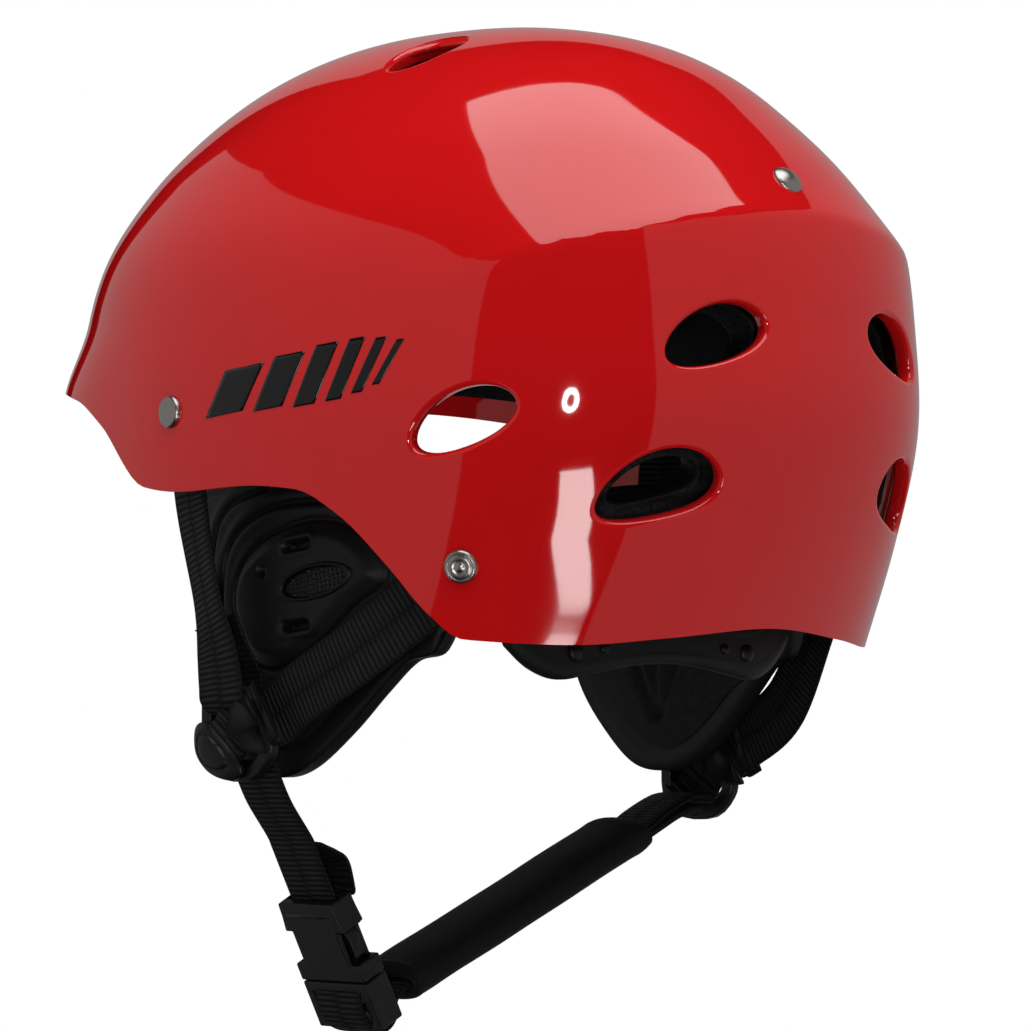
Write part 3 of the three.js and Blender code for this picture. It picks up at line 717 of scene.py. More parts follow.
# ---- shell and liner ----
def outer_shell():
    roll, wall = 1.6, SHELL_WALL
    half = wall / 2
    hem = ((0, 4.2), (0.3, 4.8), (0.9, 5.0), (1.5, 4.6), (1.8, 3.9))
    lip = quarter(roll, 6) + [(out - roll, depth) for out, depth in hem]
    bull = [(half * math.sin(t), half * (1 - math.cos(t))) for t in np.linspace(0, math.pi, 8)[1:-1]]
    return dome_piece(
        "shell", rim_depth, (0, wall), (104, 256), roll, lip, [(half, 0)] + bull,
        (RED, "shell_red", ("outer_shell",)),
    )


def liner_edge(angle):
    turn = from_front(angle)
    side = 106 + 6 * smooth(45, 75, turn)
    return side + (174 - side) * smooth(131, 143, turn)


def liner_grooves(flat, inward):
    """Air channels pressed into the foam, shallow near its edges."""
    s = np.hypot(flat[:, 0], flat[:, 1])
    depth = LEVEL_STEP * s * s
    angle = np.degrees(np.arctan2(flat[:, 0], -flat[:, 1]))
    rib = 0.5 + 0.5 * np.cos(2 * np.pi * depth / 8.5)
    calm = smooth(12, 30, depth) * smooth(0, 10, liner_edge(angle) - depth)
    outer_face = inward < 0.1
    inner_face = inward > LINER_IN - LINER_OUT - 0.1
    channel = np.exp(-((((angle + 11.25) % 22.5) - 11.25) / 3.2) ** 2)
    pressed = inward + outer_face * 1.6 * rib**2 * calm
    return pressed - inner_face * 2.4 * channel * calm


def foam_liner():
    thick = LINER_IN - LINER_OUT
    lip = quarter(1.2, 3) + [(-1.2, thick - 1.6), (-0.8, thick - 0.5)]
    corner = [(1.2, 0), (0.75, 0.25), (1.2, 1.4), (1.2, thick - 1.4), (0.75, thick - 0.25)]
    return dome_piece(
        "liner", liner_edge, (LINER_OUT, LINER_IN), (64, 176), 1.2, lip, corner,
        (FOAM, "foam_black", ("foam_liner",)), grow=1.0, plain=True, relief=liner_grooves,
    )


outer_shell()
foam_liner()


# ---- turned fasteners ----
def turned(outline, segments=40, closed=False):
    """A turned part from its outline of radius and height, spun round the axis."""
    bm = bmesh.new()
    line = [bm.verts.new((r, 0, z)) for r, z in outline]
    pairs = zip(line, line[1:] + line[:1]) if closed else zip(line, line[1:])
    edges = [bm.edges.new(pair) for pair in pairs]
    spin(bm, line + edges, segments)
    bmesh.ops.remove_doubles(bm, verts=bm.verts, dist=1e-4)
    return bm


def stood_on_skin(bm, angle, depth, side, tilt=0):
    point, long_axis, short_axis, normal = spot_frame(angle, depth, side, tilt)
    matrix = Matrix((long_axis, short_axis, normal)).transposed().to_4x4()
    matrix.translation = point
    bmesh.ops.transform(bm, matrix=matrix, verts=bm.verts)
    return bm


PLAIN_HEAD = ((0, 1.75), (2.4, 1.72), (3.9, 1.55), (4.5, 1.25), (4.85, 0.75), (4.95, 0.2), (4.9, -0.5),
              (0, -0.5))
RINGED_HEAD = ((0, 1.9), (1.2, 1.9), (1.5, 1.6), (1.8, 1.6), (2.1, 1.85), (3.3, 1.8), (3.55, 1.5), (3.8, 1.5),
               (4.05, 1.65), (4.55, 1.4), (4.9, 0.9), (4.98, 0.2), (4.9, -0.5), (0, -0.5))
DOMED_HEAD = ((0, 2.3), (1.5, 2.2), (2.9, 1.8), (4.0, 1.15), (4.6, 0.6), (4.95, 0.1), (4.9, -0.5), (0, -0.5))
WASHER = ((1.9, 0), (4.4, 0), (4.8, -0.3), (4.8, -0.9), (4.4, -1.2), (1.9, -1.2))


def rivets():
    pairs = (("front_rivet", FRONT_RIVET, PLAIN_HEAD, 8.2), ("side_rivet", SIDE_RIVET, RINGED_HEAD, 9))
    styles = [
        (f"{name}_{word}", spot, side, head, washer)
        for name, spot, head, washer in pairs for word, side in SIDES
    ]
    styles.append(("rear_rivet", REAR_RIVET, 1, DOMED_HEAD, 4.2))
    for node, (angle, depth), side, head, washer in styles:
        bm = stood_on_skin(turned(head), angle, depth, side)
        as_piece(bm, node + "_head", "helmet", METAL, "rivet_metal", (node,), outward=True)
        bm = turned(WASHER, closed=True)
        bmesh.ops.translate(bm, vec=(0, 0, -washer), verts=bm.verts)
        name = node.replace("rivet", "rivet_washer")
        stood_on_skin(bm, angle, depth, side)
        as_piece(bm, name + "_ring", "helmet", METAL, "rivet_metal", (name,), outward=True)


# ---- webbing ----
def swept(route, looks, section, segments=28):
    """A closed form swept along a route. section(turn, share) gives how far across and out each point is."""
    steps = len(route)
    bm = bmesh.new()
    bmesh.ops.create_cone(bm, cap_ends=True, segments=segments, radius1=1, radius2=1, depth=1)
    along = [e for e in bm.edges if abs(e.verts[0].co.z - e.verts[1].co.z) > 0.5]
    bmesh.ops.subdivide_edges(bm, edges=along, cuts=steps - 2)
    bm.verts.index_update()
    runs = directions(route)
    looks = looks - runs * np.sum(looks * runs, axis=1, keepdims=True)
    looks /= np.linalg.norm(looks, axis=1, keepdims=True)
    sides = np.cross(runs, looks)
    lengths = run_lengths(route)
    uv = {}
    for v in bm.verts:
        turn = math.atan2(v.co.y, v.co.x)
        row = min(steps - 1, max(0, round((v.co.z + 0.5) * (steps - 1))))
        across, out = section(turn, row / (steps - 1))
        v.co = route[row] + sides[row] * across + looks[row] * out
        uv[v.index] = (across * MM, lengths[row] * MM)
    layer = bm.loops.layers.uv.new("UVMap")
    for face in bm.faces:
        for corner in face.loops:
            corner[layer].uv = uv[corner.vert.index]
    return bm


def strap_section(width, thick, ridges=0):
    def section(turn, share):
        c, s = math.cos(turn), math.sin(turn)
        across = math.copysign(abs(c) ** 0.35, c) * width / 2
        selvedge = 1 + 0.18 * (abs(c) > 0.93)
        ridge = 1 + 0.45 * math.sin(2 * math.pi * ridges * share)
        return across, math.copysign(abs(s) ** 0.6, s) * thick / 2 * selvedge * ridge
    return section


def webbing(name, points, body, replaces=(), width=STRAP_WIDTH, thick=STRAP_THICK, steps=110, ridges=0):
    """A strap through points of (x, y, z) with the way its face looks beside each."""
    route = spline([p for p, _ in points], steps)
    looks = spline([f for _, f in points], steps)
    bm = swept(route, looks, strap_section(width, thick, ridges))
    return as_piece(bm, name, body, WEBBING, "webbing_black", replaces, outward=True)


def flipped(points, side):
    return [((p[0] * side, p[1], p[2]), (f[0] * side, f[1], f[2])) for p, f in points]


def stitch_rows(name, rows, body, length=2.3, pitch=3.1):
    """Rows of raised thread. Each row runs from a start to an end, with the way the cloth looks."""
    bm = bmesh.new()
    for start, end, look in rows:
        start, end, look = Vector(start), Vector(end), Vector(look).normalized()
        run = (end - start).normalized()
        side = look.cross(run)
        count = max(1, round((end - start).length / pitch))
        for k in range(count):
            made = bmesh.ops.create_icosphere(bm, subdivisions=1, radius=1)["verts"]
            bmesh.ops.scale(bm, vec=(length / 2, 0.36, 0.3), verts=made)
            turn = Matrix((run, side, look)).transposed().to_4x4()
            turn.translation = start + (end - start) * ((k + 0.5) / count)
            bmesh.ops.transform(bm, matrix=turn, verts=made)
    return as_piece(bm, name, body, THREAD, "webbing_black")


def shell_straps():
    for word, side in SIDES:
        x, y, z = DIVIDERS[word]
        x = abs(x)
        top = Vector(under(flat_at(*FRONT_RIVET), STRAP_DEPTH)[0])
        front = [
            ((top.x - 0.8, top.y - 0.5, top.z + 8), (1, -0.16, 0.04)),
            ((top.x, top.y, top.z), (1, -0.16, 0)),
            ((top.x - 1.8, top.y + 0.6, -121), (0.97, -0.25, 0)),
            ((x + 4.8, y - 10, z + 40), (0.94, -0.34, 0)),
            ((x + 4.8, y - 5.5, z + 24), (1, -0.12, 0)),
            ((x + 4.4, y - 4.0, z + 14.5), (1, -0.02, 0)),
            ((x + 4.2, y - 3.4, z + 9), (1, 0, -0.3)),
            ((x + 0.4, y - 3.2, z + 5.2), (0, 0, -1)),
            ((x - 3.2, y - 3.6, z + 9), (-1, 0, -0.4)),
            ((x - 3.4, y - 4.2, z + 16), (-1, 0, 0.1)),
            ((x + 0.8, y - 5.2, z + 26), (-1, 0.1, 0.2)),
            ((x + 2.0, y - 7, z + 33), (-1, 0.2, 0)),
        ]
        webbing(f"front_strap_{word}_web", flipped(front, side), "helmet", (f"front_strap_{word}",))
        top = Vector(under(flat_at(*SIDE_RIVET), STRAP_DEPTH + 0.4)[0])
        lift = LOOP_LIFT[word]
        rear = [
            ((top.x - 3.8, top.y + 5.6, top.z + 4.6), (0.82, 0.55, -0.12)),
            ((top.x - 0.4, top.y, top.z), (0.85, 0.5, -0.12)),
            ((88, 66, -152.5), (0.93, 0.34, 0)),
            ((93.2, 45, z + 23), (0.99, 0.1, 0)),
            ((x - 2.9, y + 24, z + 11.5), (1, 0, 0)),
            ((x - 3.3, y + 13.8 + lift, z + 4.2 + lift), (1, 0, 0)),
            ((x - 2.4, y + 9.4 + lift, z + 1.4 + lift), (0.9, -0.4, -0.2)),
            ((x, y + 6.5 + lift, z - 0.6 + lift), (0, -0.86, -0.5)),
            ((x + 2.7, y + 8.6 + lift, z + 1.1 + lift), (-0.9, -0.4, -0.2)),
            ((x + 3.9, y + 12.8 + lift, z + 3.8 + lift), (-1, 0, 0)),
        ]
        webbing(f"rear_strap_{word}_web", flipped(rear, side), "helmet", (f"rear_strap_{word}",))
        fold = [
            ((x - 2.6, y + 4.4, z + 6.4), (1, 0.3, 0.2)), ((x + 1.6, y + 2.6, z + 4), (1, 0.1, 0.1)),
            ((x + 3.0, y - 1.4, z - 1.6), (1, 0, 0)), ((x + 1.8, y - 5, z - 6.4), (1, -0.1, -0.2)),
            ((x - 2.4, y - 7, z - 9), (0.9, -0.2, -0.4)),
        ]
        fold = flipped(fold, side)
        webbing(f"divider_fold_{word}", fold, "helmet", width=16.5, thick=2.6, steps=90, ridges=6)
        rows = [
            ((x + 5.6, y - 14, z + 27), (x + 5.4, y + 2.4, z + 24), (1, -0.2, 0)),
            ((x + 5.9, y - 14.6, z + 30), (x + 5.7, y + 1.6, z + 27), (1, -0.2, 0)),
        ]
        flip = Vector((side, 1, 1))
        rows = [tuple(tuple(a * b for a, b in zip(v, flip)) for v in row) for row in rows]
        stitch_rows(f"strap_stitches_{word}", rows, "helmet")


def up_buckle(distance, out=0.0):
    """A point so far up the buckle's middle line from the parting line, and so far out of its face."""
    run = Vector((math.sin(BUCKLE_LEAN), 0, math.cos(BUCKLE_LEAN)))
    return tuple(BUCKLE_AT + run * distance + Vector(BUCKLE_FACE) * out)


BUCKLE_FACE = (math.cos(BUCKLE_LEAN), 0, -math.sin(BUCKLE_LEAN))


def chin_webbing():
    x, _, z = DIVIDERS["left"]
    left = [
        ((x + 0.2, LOOP_Y, z - 9.3), (0, 0, 1)),
        ((x - 2.4, LOOP_Y, z - 10), (-0.5, 0, 0.8)),
        ((x - 3.9, LOOP_Y, z - 14), (-0.95, 0, 0.3)),
        ((x - 8.2, LOOP_Y, z - 21.6), (-0.84, 0, 0.54)),
        (up_buckle(48, 0.2), (-0.86, 0, 0.5)),
        *((up_buckle(distance), tuple(-c for c in BUCKLE_FACE)) for distance in (44, 40, 30, 20.5)),
    ]
    webbing("left_chin_web", left, "chin_strap", ("left_chin_webbing",))
    tail = [
        (up_buckle(25.2, -2.6), (-0.88, 0, 0.46)), (up_buckle(28.2, -6.2), (-0.4, -0.1, 0.9)),
        (up_buckle(33, -8.2), (-0.9, -0.15, 0.2)), (up_buckle(38, -6.4), (-0.97, -0.05, -0.1)),
        (up_buckle(43.5, -2.8), (-0.97, 0, 0.1)),
    ]
    webbing("left_chin_tail", tail, "buckle_socket", steps=60)
    right = [
        (up_buckle(-3.2, 4.3), (0.9, 0, 0.2)),
        (up_buckle(-8.5, 5.6), BUCKLE_FACE),
        (up_buckle(-14.5, 4.6), (0.75, 0, -0.66)),
        (up_buckle(-18.6, 0.5), (0.3, 0, -0.95)),
        (up_buckle(-17.6, -4.8), (-0.6, 0, -0.8)),
        (up_buckle(-12.5, -8.6), (-0.7, 0, -0.7)),
        ((38, LOOP_Y, -265.4), (-0.34, 0, -0.94)),
        ((28, LOOP_Y, -261.2), (-0.38, 0, -0.92)),
        ((0, LOOP_Y, -249.5), (-0.4, 0, -0.92)),
        ((-30, LOOP_Y, -236.5), (-0.39, 0, -0.92)),
        ((-60, LOOP_Y, -224), (-0.4, 0, -0.92)),
        ((-72, LOOP_Y, -217.5), (-0.5, 0, -0.86)),
        ((-84, LOOP_Y, -212.6), (-0.36, 0, -0.93)),
        ((-91.5, LOOP_Y, -212.2), (-0.1, 0, -1)),
        ((-94, LOOP_Y, -214.6), (0.75, 0, -0.66)),
    ]
    webbing("right_chin_web", right, "chin_strap", ("right_chin_webbing",), steps=190)
    doubled = [
        ((-55, LOOP_Y, -228.4), (0.4, 0, 0.92)), ((-70, LOOP_Y, -221.4), (0.5, 0, 0.86)),
        ((-79, LOOP_Y, -217.6), (0.42, 0, 0.9)), ((-88, LOOP_Y, -216.2), (0.1, 0, 1)),
    ]
    webbing("right_chin_doubling", doubled, "chin_strap", thick=3.2, steps=60)
    rows = [
        (*((-70 - 4 * k, LOOP_Y + half, -217.8 + 1.9 * k) for half in (-7.5, 7.5)), (0.45, 0, 0.9))
        for k in range(3)
    ]
    stitch_rows("chin_bar_tacks", rows, "chin_strap", length=1.9, pitch=2.2)


def chin_sleeve():
    """A soft flattened tube round the webbing, open at both ends with a folded hem."""
    steps = 120
    route = spline([(41, LOOP_Y, -266.6), (28, LOOP_Y, -261.2), (0, LOOP_Y, -249.5), (-30, LOOP_Y, -236.5),
                    (-60.5, LOOP_Y, -223.8)], steps)
    outline = [(2, k / (steps - 1)) for k in range(steps)]
    outline += [(1, 1 - k / 24) for k in range(25)]
    bm = turned(outline, segments=56, closed=True)
    runs = directions(route)
    for v in bm.verts:
        turn, share = math.atan2(v.co.y, v.co.x), min(max(v.co.z, 0), 1)
        level = math.hypot(v.co.x, v.co.y) - 1
        at = share * (steps - 1)
        row = min(int(at), steps - 2)
        here = Vector(route[row]).lerp(Vector(route[row + 1]), at - row)
        run = Vector(runs[row])
        look = Vector((0, 1, 0)).cross(run).normalized()
        c, s = math.cos(turn), math.sin(turn)
        inset = min(share, 1 - share)
        hem = 1 - 0.16 * math.exp(-(inset / 0.018) ** 2) + 0.05 * math.exp(-((inset - 0.05) / 0.015) ** 2)
        soft = 1 + 0.03 * math.sin(9 * share + 2 * c) + 0.02 * math.sin(23 * share + 3 * s)
        wide = 11 + 2.4 * level
        deep = 1.9 + (4.3 * hem * soft) * level
        across = math.copysign(abs(c) ** 0.8, c) * wide
        v.co = here + Vector((0, 1, 0)) * across + look * (math.copysign(abs(s) ** 0.75, s) * deep)
    replaced = ("chin_sleeve",)
    sleeve = as_piece(bm, "chin_sleeve_soft", "chin_strap", NEOPRENE, "pad_fabric", replaced, outward=True)


# ---- dividers, levers and buckle ----
def eased_copy(node, name, body, slot, width=0.7, segments=3, material=None, degrees=30):
    """A CAD part with its edges rounded as moulding leaves them."""
    bm = bmesh.new()
    bm.from_mesh(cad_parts[node].data)
    bmesh.ops.scale(bm, vec=(1 / MM,) * 3, verts=bm.verts)
    bmesh.ops.remove_doubles(bm, verts=bm.verts, dist=1e-3)
    bmesh.ops.dissolve_limit(bm, angle_limit=math.radians(1.5), verts=bm.verts, edges=bm.edges)
    soften(bm, width, segments, degrees)
    bmesh.ops.triangulate(bm, faces=[f for f in bm.faces if len(f.verts) > 4])
    piece = as_piece(bm, name, body, material or PLASTIC, slot, (node,))
    shade_flats(piece)
    return piece


def shade_flats(piece, degrees=38):
    """Keeps flat faces flat beside rounded edges."""
    mesh = piece.data
    mesh.set_sharp_from_angle(angle=math.radians(degrees))
    modifier = piece.modifiers.new("weighted", "WEIGHTED_NORMAL")
    modifier.keep_sharp = True


def lens(outline, centre, rings, segments, spot, back_rings=8):
    """A closed form over an outline. spot(u, v, share, level) places a vertex: share runs from the
    middle to the edge, level from 1 in front to -1 behind."""
    ring = closed_chain(spline(outline, segments * 6, closed=True))
    length = run_lengths(ring)
    even = np.linspace(0, length[-1], segments, endpoint=False)
    edge = np.stack([np.interp(even, length, ring[:, k]) for k in range(2)], axis=1)
    rise = [(k / rings, 1) for k in range(rings + 1)]
    side = [(1, 0.6), (1, 0.2), (1, -0.2), (1, -0.6)]
    back = [(k / back_rings, -1) for k in range(back_rings, -1, -1)]
    bm = turned([*rise, *side, *back], segments)
    for v in bm.verts:
        share = math.hypot(v.co.x, v.co.y)
        k = round(math.atan2(v.co.y, v.co.x) / (2 * math.pi) * segments) % segments
        u, w = np.array(centre) + (edge[k] - centre) * min(share, 1)
        v.co = spot(u, w, share, v.co.z)
    return bm


LEVER_OUTLINE = ((-15.8, 1), (-16, -6), (-12, -11), (-6, -13.8), (1.5, -14.6), (5, -11.5), (2, -6), (-4, -1),
                 (-10.5, 2.6))
LEVER_CENTRE = (-6.5, -6.5)


def divider_levers():
    for word, side in SIDES:
        x, y, z = DIVIDERS[word]

        def spot(u, v, share, level, x=x, y=y, z=z, side=side):
            crown = 3.2 * (1 - share**2.6) + 1.5
            recess = 0.8 * math.exp(-((share - 0.62) / 0.05) ** 2) if level > 0.9 else 0
            out = 2.5 + (crown - recess if level > 0.9 else 0.75 * (level + 1))
            return x + side * out, y + u, z + v

        bm = lens(LEVER_OUTLINE, LEVER_CENTRE, 22, 64, spot)
        body, replaced = f"{word}_lever", (f"divider_lever_{word}",)
        as_piece(bm, f"lever_cover_{word}", body, PLASTIC, "plastic_black", replaced, outward=True)
        bm = bmesh.new()
        for k in range(3):
            made = bmesh.ops.create_cube(bm, size=1)["verts"]
            bmesh.ops.scale(bm, vec=(1.1, 6.4 - 1.6 * k, 0.9), verts=made)
            bmesh.ops.translate(bm, vec=(5.9 - 0.35 * k, -6.5 - 0.6 * k, -4.2 - 2.1 * k), verts=made)
        soften(bm, 0.3, 2)
        bmesh.ops.scale(bm, vec=(side, 1, 1), verts=bm.verts)
        bmesh.ops.translate(bm, vec=(x, y, z), verts=bm.verts)
        as_piece(bm, f"lever_grip_{word}", body, PLASTIC, "plastic_black", outward=True)
        eased_copy(f"divider_{word}", f"divider_ring_{word}", "helmet", "plastic_black", 1.1, 4, degrees=50)


def in_buckle(bm):
    """From the buckle's own axes (width, out of its face, up) to its leaned place."""
    turn = Matrix.Rotation(BUCKLE_LEAN, 4, "Y") @ Matrix.Rotation(-math.pi / 2, 4, "Z")
    bmesh.ops.transform(bm, matrix=Matrix.Translation(BUCKLE_AT) @ turn, verts=bm.verts)
    return bm


def buckle():
    eased_copy("buckle_female", "buckle_socket_shell", "buckle_socket", "plastic_black", 1.3, 4)
    eased_copy("buckle_male", "buckle_plug", "chin_strap", "plastic_black", 1.3, 4)
    for word in ("front", "rear"):
        eased_copy(f"latch_arm_{word}", f"latch_arm_{word}_prong", f"{word}_latch", "plastic_black", 0.5, 3)
    bar = bmesh.new()
    for face in (1, -1):
        made = bmesh.ops.create_cube(bar, size=1)["verts"]
        bmesh.ops.scale(bar, vec=(19, 0.7, 1.5), verts=made)
        bmesh.ops.translate(bar, vec=(0, face * 4.6, 22.8), verts=made)
    soften(bar, 0.34, 2)
    as_piece(in_buckle(bar), "buckle_socket_bar", "buckle_socket", PLASTIC, "plastic_black", outward=True)


# ---- ear pads ----
EAR_OUTLINE = ((-31, -114), (-38, -138), (-36, -158), (-31, -176), (-22, -190), (-10, -201.5), (3, -204),
               (16, -200.5), (31, -190), (44, -178), (54, -169.5), (64, -166), (68, -150), (54, -130),
               (34, -114))
EAR_CENTRE = (12, -152)
DOME = ((-14, -153), (-13.4, -146), (-9.6, -140), (-3, -135.4), (5, -131.8), (20, -128.5), (34, -130),
        (45, -137), (48, -146), (37, -153), (25, -162.5), (10, -170), (-3, -169.5), (-10.6, -162))
ARCS = (
    ((-20.5, -160), (-21.3, -148), (-18.6, -137), (-11.5, -129.6), (-1, -124.8), (10.5, -122.4), (26, -122)),
    ((-26.5, -152), (-27, -141), (-24, -129), (-17.5, -122.6), (-9.4, -119.8), (2, -117.6)),
)
POCKETS = ((17.6, -135, 5.8, 1.5, 8), (17, -159, 5.8, 1.5, 6))  # y, z, half length, half width, tilt
HOLE = (1.9, -142.4)
GRILLE_AT = (24.5, -146)
GRILLE_TILT = math.radians(10)
EAR_PAD_THICK = 8.5


def chain_distance(chain, u, v):
    """Distance from places to the nearest straight piece of a chain of points, all in millimetres."""
    a, b = chain[:-1], chain[1:]
    p = np.stack([u, v], axis=1)[:, None, :]
    t = np.clip(np.sum((p - a) * (b - a), axis=2) / np.maximum(np.sum((b - a) ** 2, axis=1), 1e-9), 0, 1)
    return np.min(np.linalg.norm(a + t[..., None] * (b - a) - p, axis=2), axis=1)


def line_distance(points, u, v):
    return chain_distance(spline(points, 160), u, v)


def inside_distance(points, u, v):
    """Distance to a closed outline, positive inside it."""
    ring = closed_chain(spline(points, 240, closed=True))
    away = chain_distance(ring, u, v)
    x, y = ring[:, 0], ring[:, 1]
    crossed = (y[:-1] > v[:, None]) != (y[1:] > v[:, None])
    with np.errstate(divide="ignore", invalid="ignore"):
        at = x[:-1] + (v[:, None] - y[:-1]) * (x[1:] - x[:-1]) / (y[1:] - y[:-1])
    odd = np.sum(crossed & (u[:, None] < at), axis=1) % 2 == 1
    return np.where(odd, away, -away)


def ear_relief(u, v):
    """Moulded relief of the ear pad's outer face: how far it stands out of its plain curve."""
    edge = inside_distance(EAR_OUTLINE, u, v)
    dome = inside_distance(DOME, u, v)
    out = 2.8 * smooth(-0.6, 5, dome) - 1.5 * np.exp(-((dome + 1.0) / 0.7) ** 2)
    for arc in ARCS:
        away = line_distance(arc, u, v)
        out -= 1.7 * np.exp(-((away / 0.75) ** 2)) - 0.7 * np.exp(-(((away - 2.4) / 1.7) ** 2))
    for y, z, half, wide, tilt in POCKETS:
        c, s = math.cos(math.radians(tilt)), math.sin(math.radians(tilt))
        along = (u - y) * c + (v - z) * s
        over = np.hypot(np.maximum(np.abs(along) - half + wide, 0), -(u - y) * s + (v - z) * c)
        out -= 4.2 * (1 - smooth(wide - 0.5, wide + 0.3, over))
        out += 0.6 * np.exp(-((over - wide - 1.2) / 0.7) ** 2)
    out -= 4.5 * (1 - smooth(1.5, 2.2, np.hypot(u - HOLE[0], v - HOLE[1])))
    c, s = math.cos(GRILLE_TILT), math.sin(GRILLE_TILT)
    over, up = u - GRILLE_AT[0], v - GRILLE_AT[1]
    oval = np.hypot((over * c + up * s) / 14.6, (-over * s + up * c) / 5.2)
    out -= 2.0 * (1 - smooth(0.86, 0.99, oval))
    low = smooth(-150, -168, v) * smooth(-12, 4, u)
    out -= 2.4 * (1 - smooth(7.4, 8.4, edge)) * low + 0.7 * np.exp(-((edge - 8.4) / 0.6) ** 2) * low
    for line in (2.6, 5.2):
        out -= 0.8 * np.exp(-((edge - line) / 0.5) ** 2) * smooth(-14, -24, u)
    return out - 1.7 * (1 - np.sqrt(np.clip(1 - ((1.7 - np.clip(edge, 0, 1.7)) / 1.7) ** 2, 0, 1)))


def ear_curve(y):
    return 89 - 0.00245 * (y - 10) ** 2


def ear_pads():
    for word, side in SIDES:
        bm = lens(EAR_OUTLINE, EAR_CENTRE, 76, 230, lambda u, v, share, level: (level, u, v), back_rings=10)
        co = coordinates(bm)
        level, u, v = co.T
        relief = ear_relief(u, v)
        x = ear_curve(u) + np.where(level > 0.9, relief, -1.7 - (1 - level) / 2 * (EAR_PAD_THICK - 1.7))
        place(bm, np.stack([side * x, u, v], axis=1))
        replaced = (f"ear_pad_{word}",)
        as_piece(bm, f"ear_pad_{word}_foam", "helmet", EAR_FOAM, "ear_foam", replaced, outward=True)
        grille_plate(word, side)
        ear_lining(word, side)


def grille_plate(word, side):
    """An oval plate with rows of small holes, set into the ear pad's dome, in a raised rim."""
    half_long, half_short = 13.6, 4.2
    bm = bmesh.new()
    bmesh.ops.create_grid(bm, x_segments=16, y_segments=6, size=1)
    bmesh.ops.scale(bm, vec=(half_long, half_short, 1), verts=bm.verts)

    def share(face):
        middle = face.calc_center_median()
        return math.hypot(middle.x / half_long, middle.y / half_short)

    bmesh.ops.delete(bm, geom=[f for f in bm.faces if share(f) > 1.02], context="FACES")
    holes = [f for f in bm.faces if share(f) < 0.86]
    bmesh.ops.inset_individual(bm, faces=holes, thickness=0.42, depth=0)
    bmesh.ops.inset_individual(bm, faces=holes, thickness=0.06, depth=-0.5)
    bmesh.ops.delete(bm, geom=holes, context="FACES")
    bmesh.ops.solidify(bm, geom=list(bm.faces), thickness=0.9)

    def seat(y, z, out):
        c, s = math.cos(GRILLE_TILT), math.sin(GRILLE_TILT)
        u, v = GRILLE_AT[0] + y * c - z * s, GRILLE_AT[1] + y * s + z * c
        return side * (ear_curve(u) + 1.0 + out), u, v

    for v in bm.verts:
        v.co = seat(v.co.x, v.co.y, 0.9 + v.co.z)
    replaced = (f"ear_grille_{word}",)
    as_piece(bm, f"ear_grille_{word}_plate", "helmet", GRILLE, "grille_black", replaced, outward=True)
    bead = np.linspace(0, 2 * math.pi, 12, endpoint=False)
    rim = turned([(1 + 0.09 * math.cos(t), 0.9 * math.sin(t)) for t in bead], segments=64, closed=True)
    for v in rim.verts:
        v.co = seat(v.co.x * half_long * 1.04, v.co.y * (half_short + 0.5), 1.7 + v.co.z)
    as_piece(rim, f"ear_grille_{word}_rim", "helmet", EAR_FOAM, "ear_foam", outward=True)
    # A pale disc behind the holes; its colour is painted light, showing as bright dots through them.
    cloth = turned(((0, 0.1), (0.5, 0.1), (0.97, 0.05), (0.97, -0.3), (0, -0.3)), segments=48)
    for v in cloth.verts:
        v.co = seat(v.co.x * half_long, v.co.y * half_short, v.co.z)
    as_piece(cloth, f"ear_grille_{word}_cloth", "helmet", GRILLE_CLOTH_PAINTED_LIGHT, "grille_black", outward=True)


EAR_LINING = ((-25, -126), (-29, -148), (-25.5, -169), (-12, -190), (3, -197), (16, -192.5), (33, -179),
              (48, -166), (44, -134), (28, -124))


def ear_lining(word, side):
    """A thin quilted cushion inside the ear pad, with folds that fan out from its foot."""
    thick = 6.0

    def spot(u, v, share, level):
        swollen = (1 - share**3.2) * thick
        return (1 - level) / 2 * swollen + 0.3, u, v

    bm = lens(EAR_LINING, (10, -155), 34, 120, spot, back_rings=34)
    co = coordinates(bm)
    depth, u, v = co.T
    for start, end in (((2, -186), (-16, -134)), ((3, -186), (6, -130)), ((5, -186), (30, -136))):
        fold = line_distance([start, tuple((np.array(start) + end) / 2), end], u, v)
        depth = depth - np.where(depth > 2, 1.9 * np.exp(-((fold / 1.7) ** 2)), 0)
    x = ear_curve(u) - 8.6 - depth
    place(bm, np.stack([side * x, u, v], axis=1))
    replaced = (f"ear_lining_{word}",)
    name = f"ear_lining_{word}_cushion"
    cushion = as_piece(bm, name, "helmet", EAR_CLOTH, "pad_fabric", replaced, outward=True)


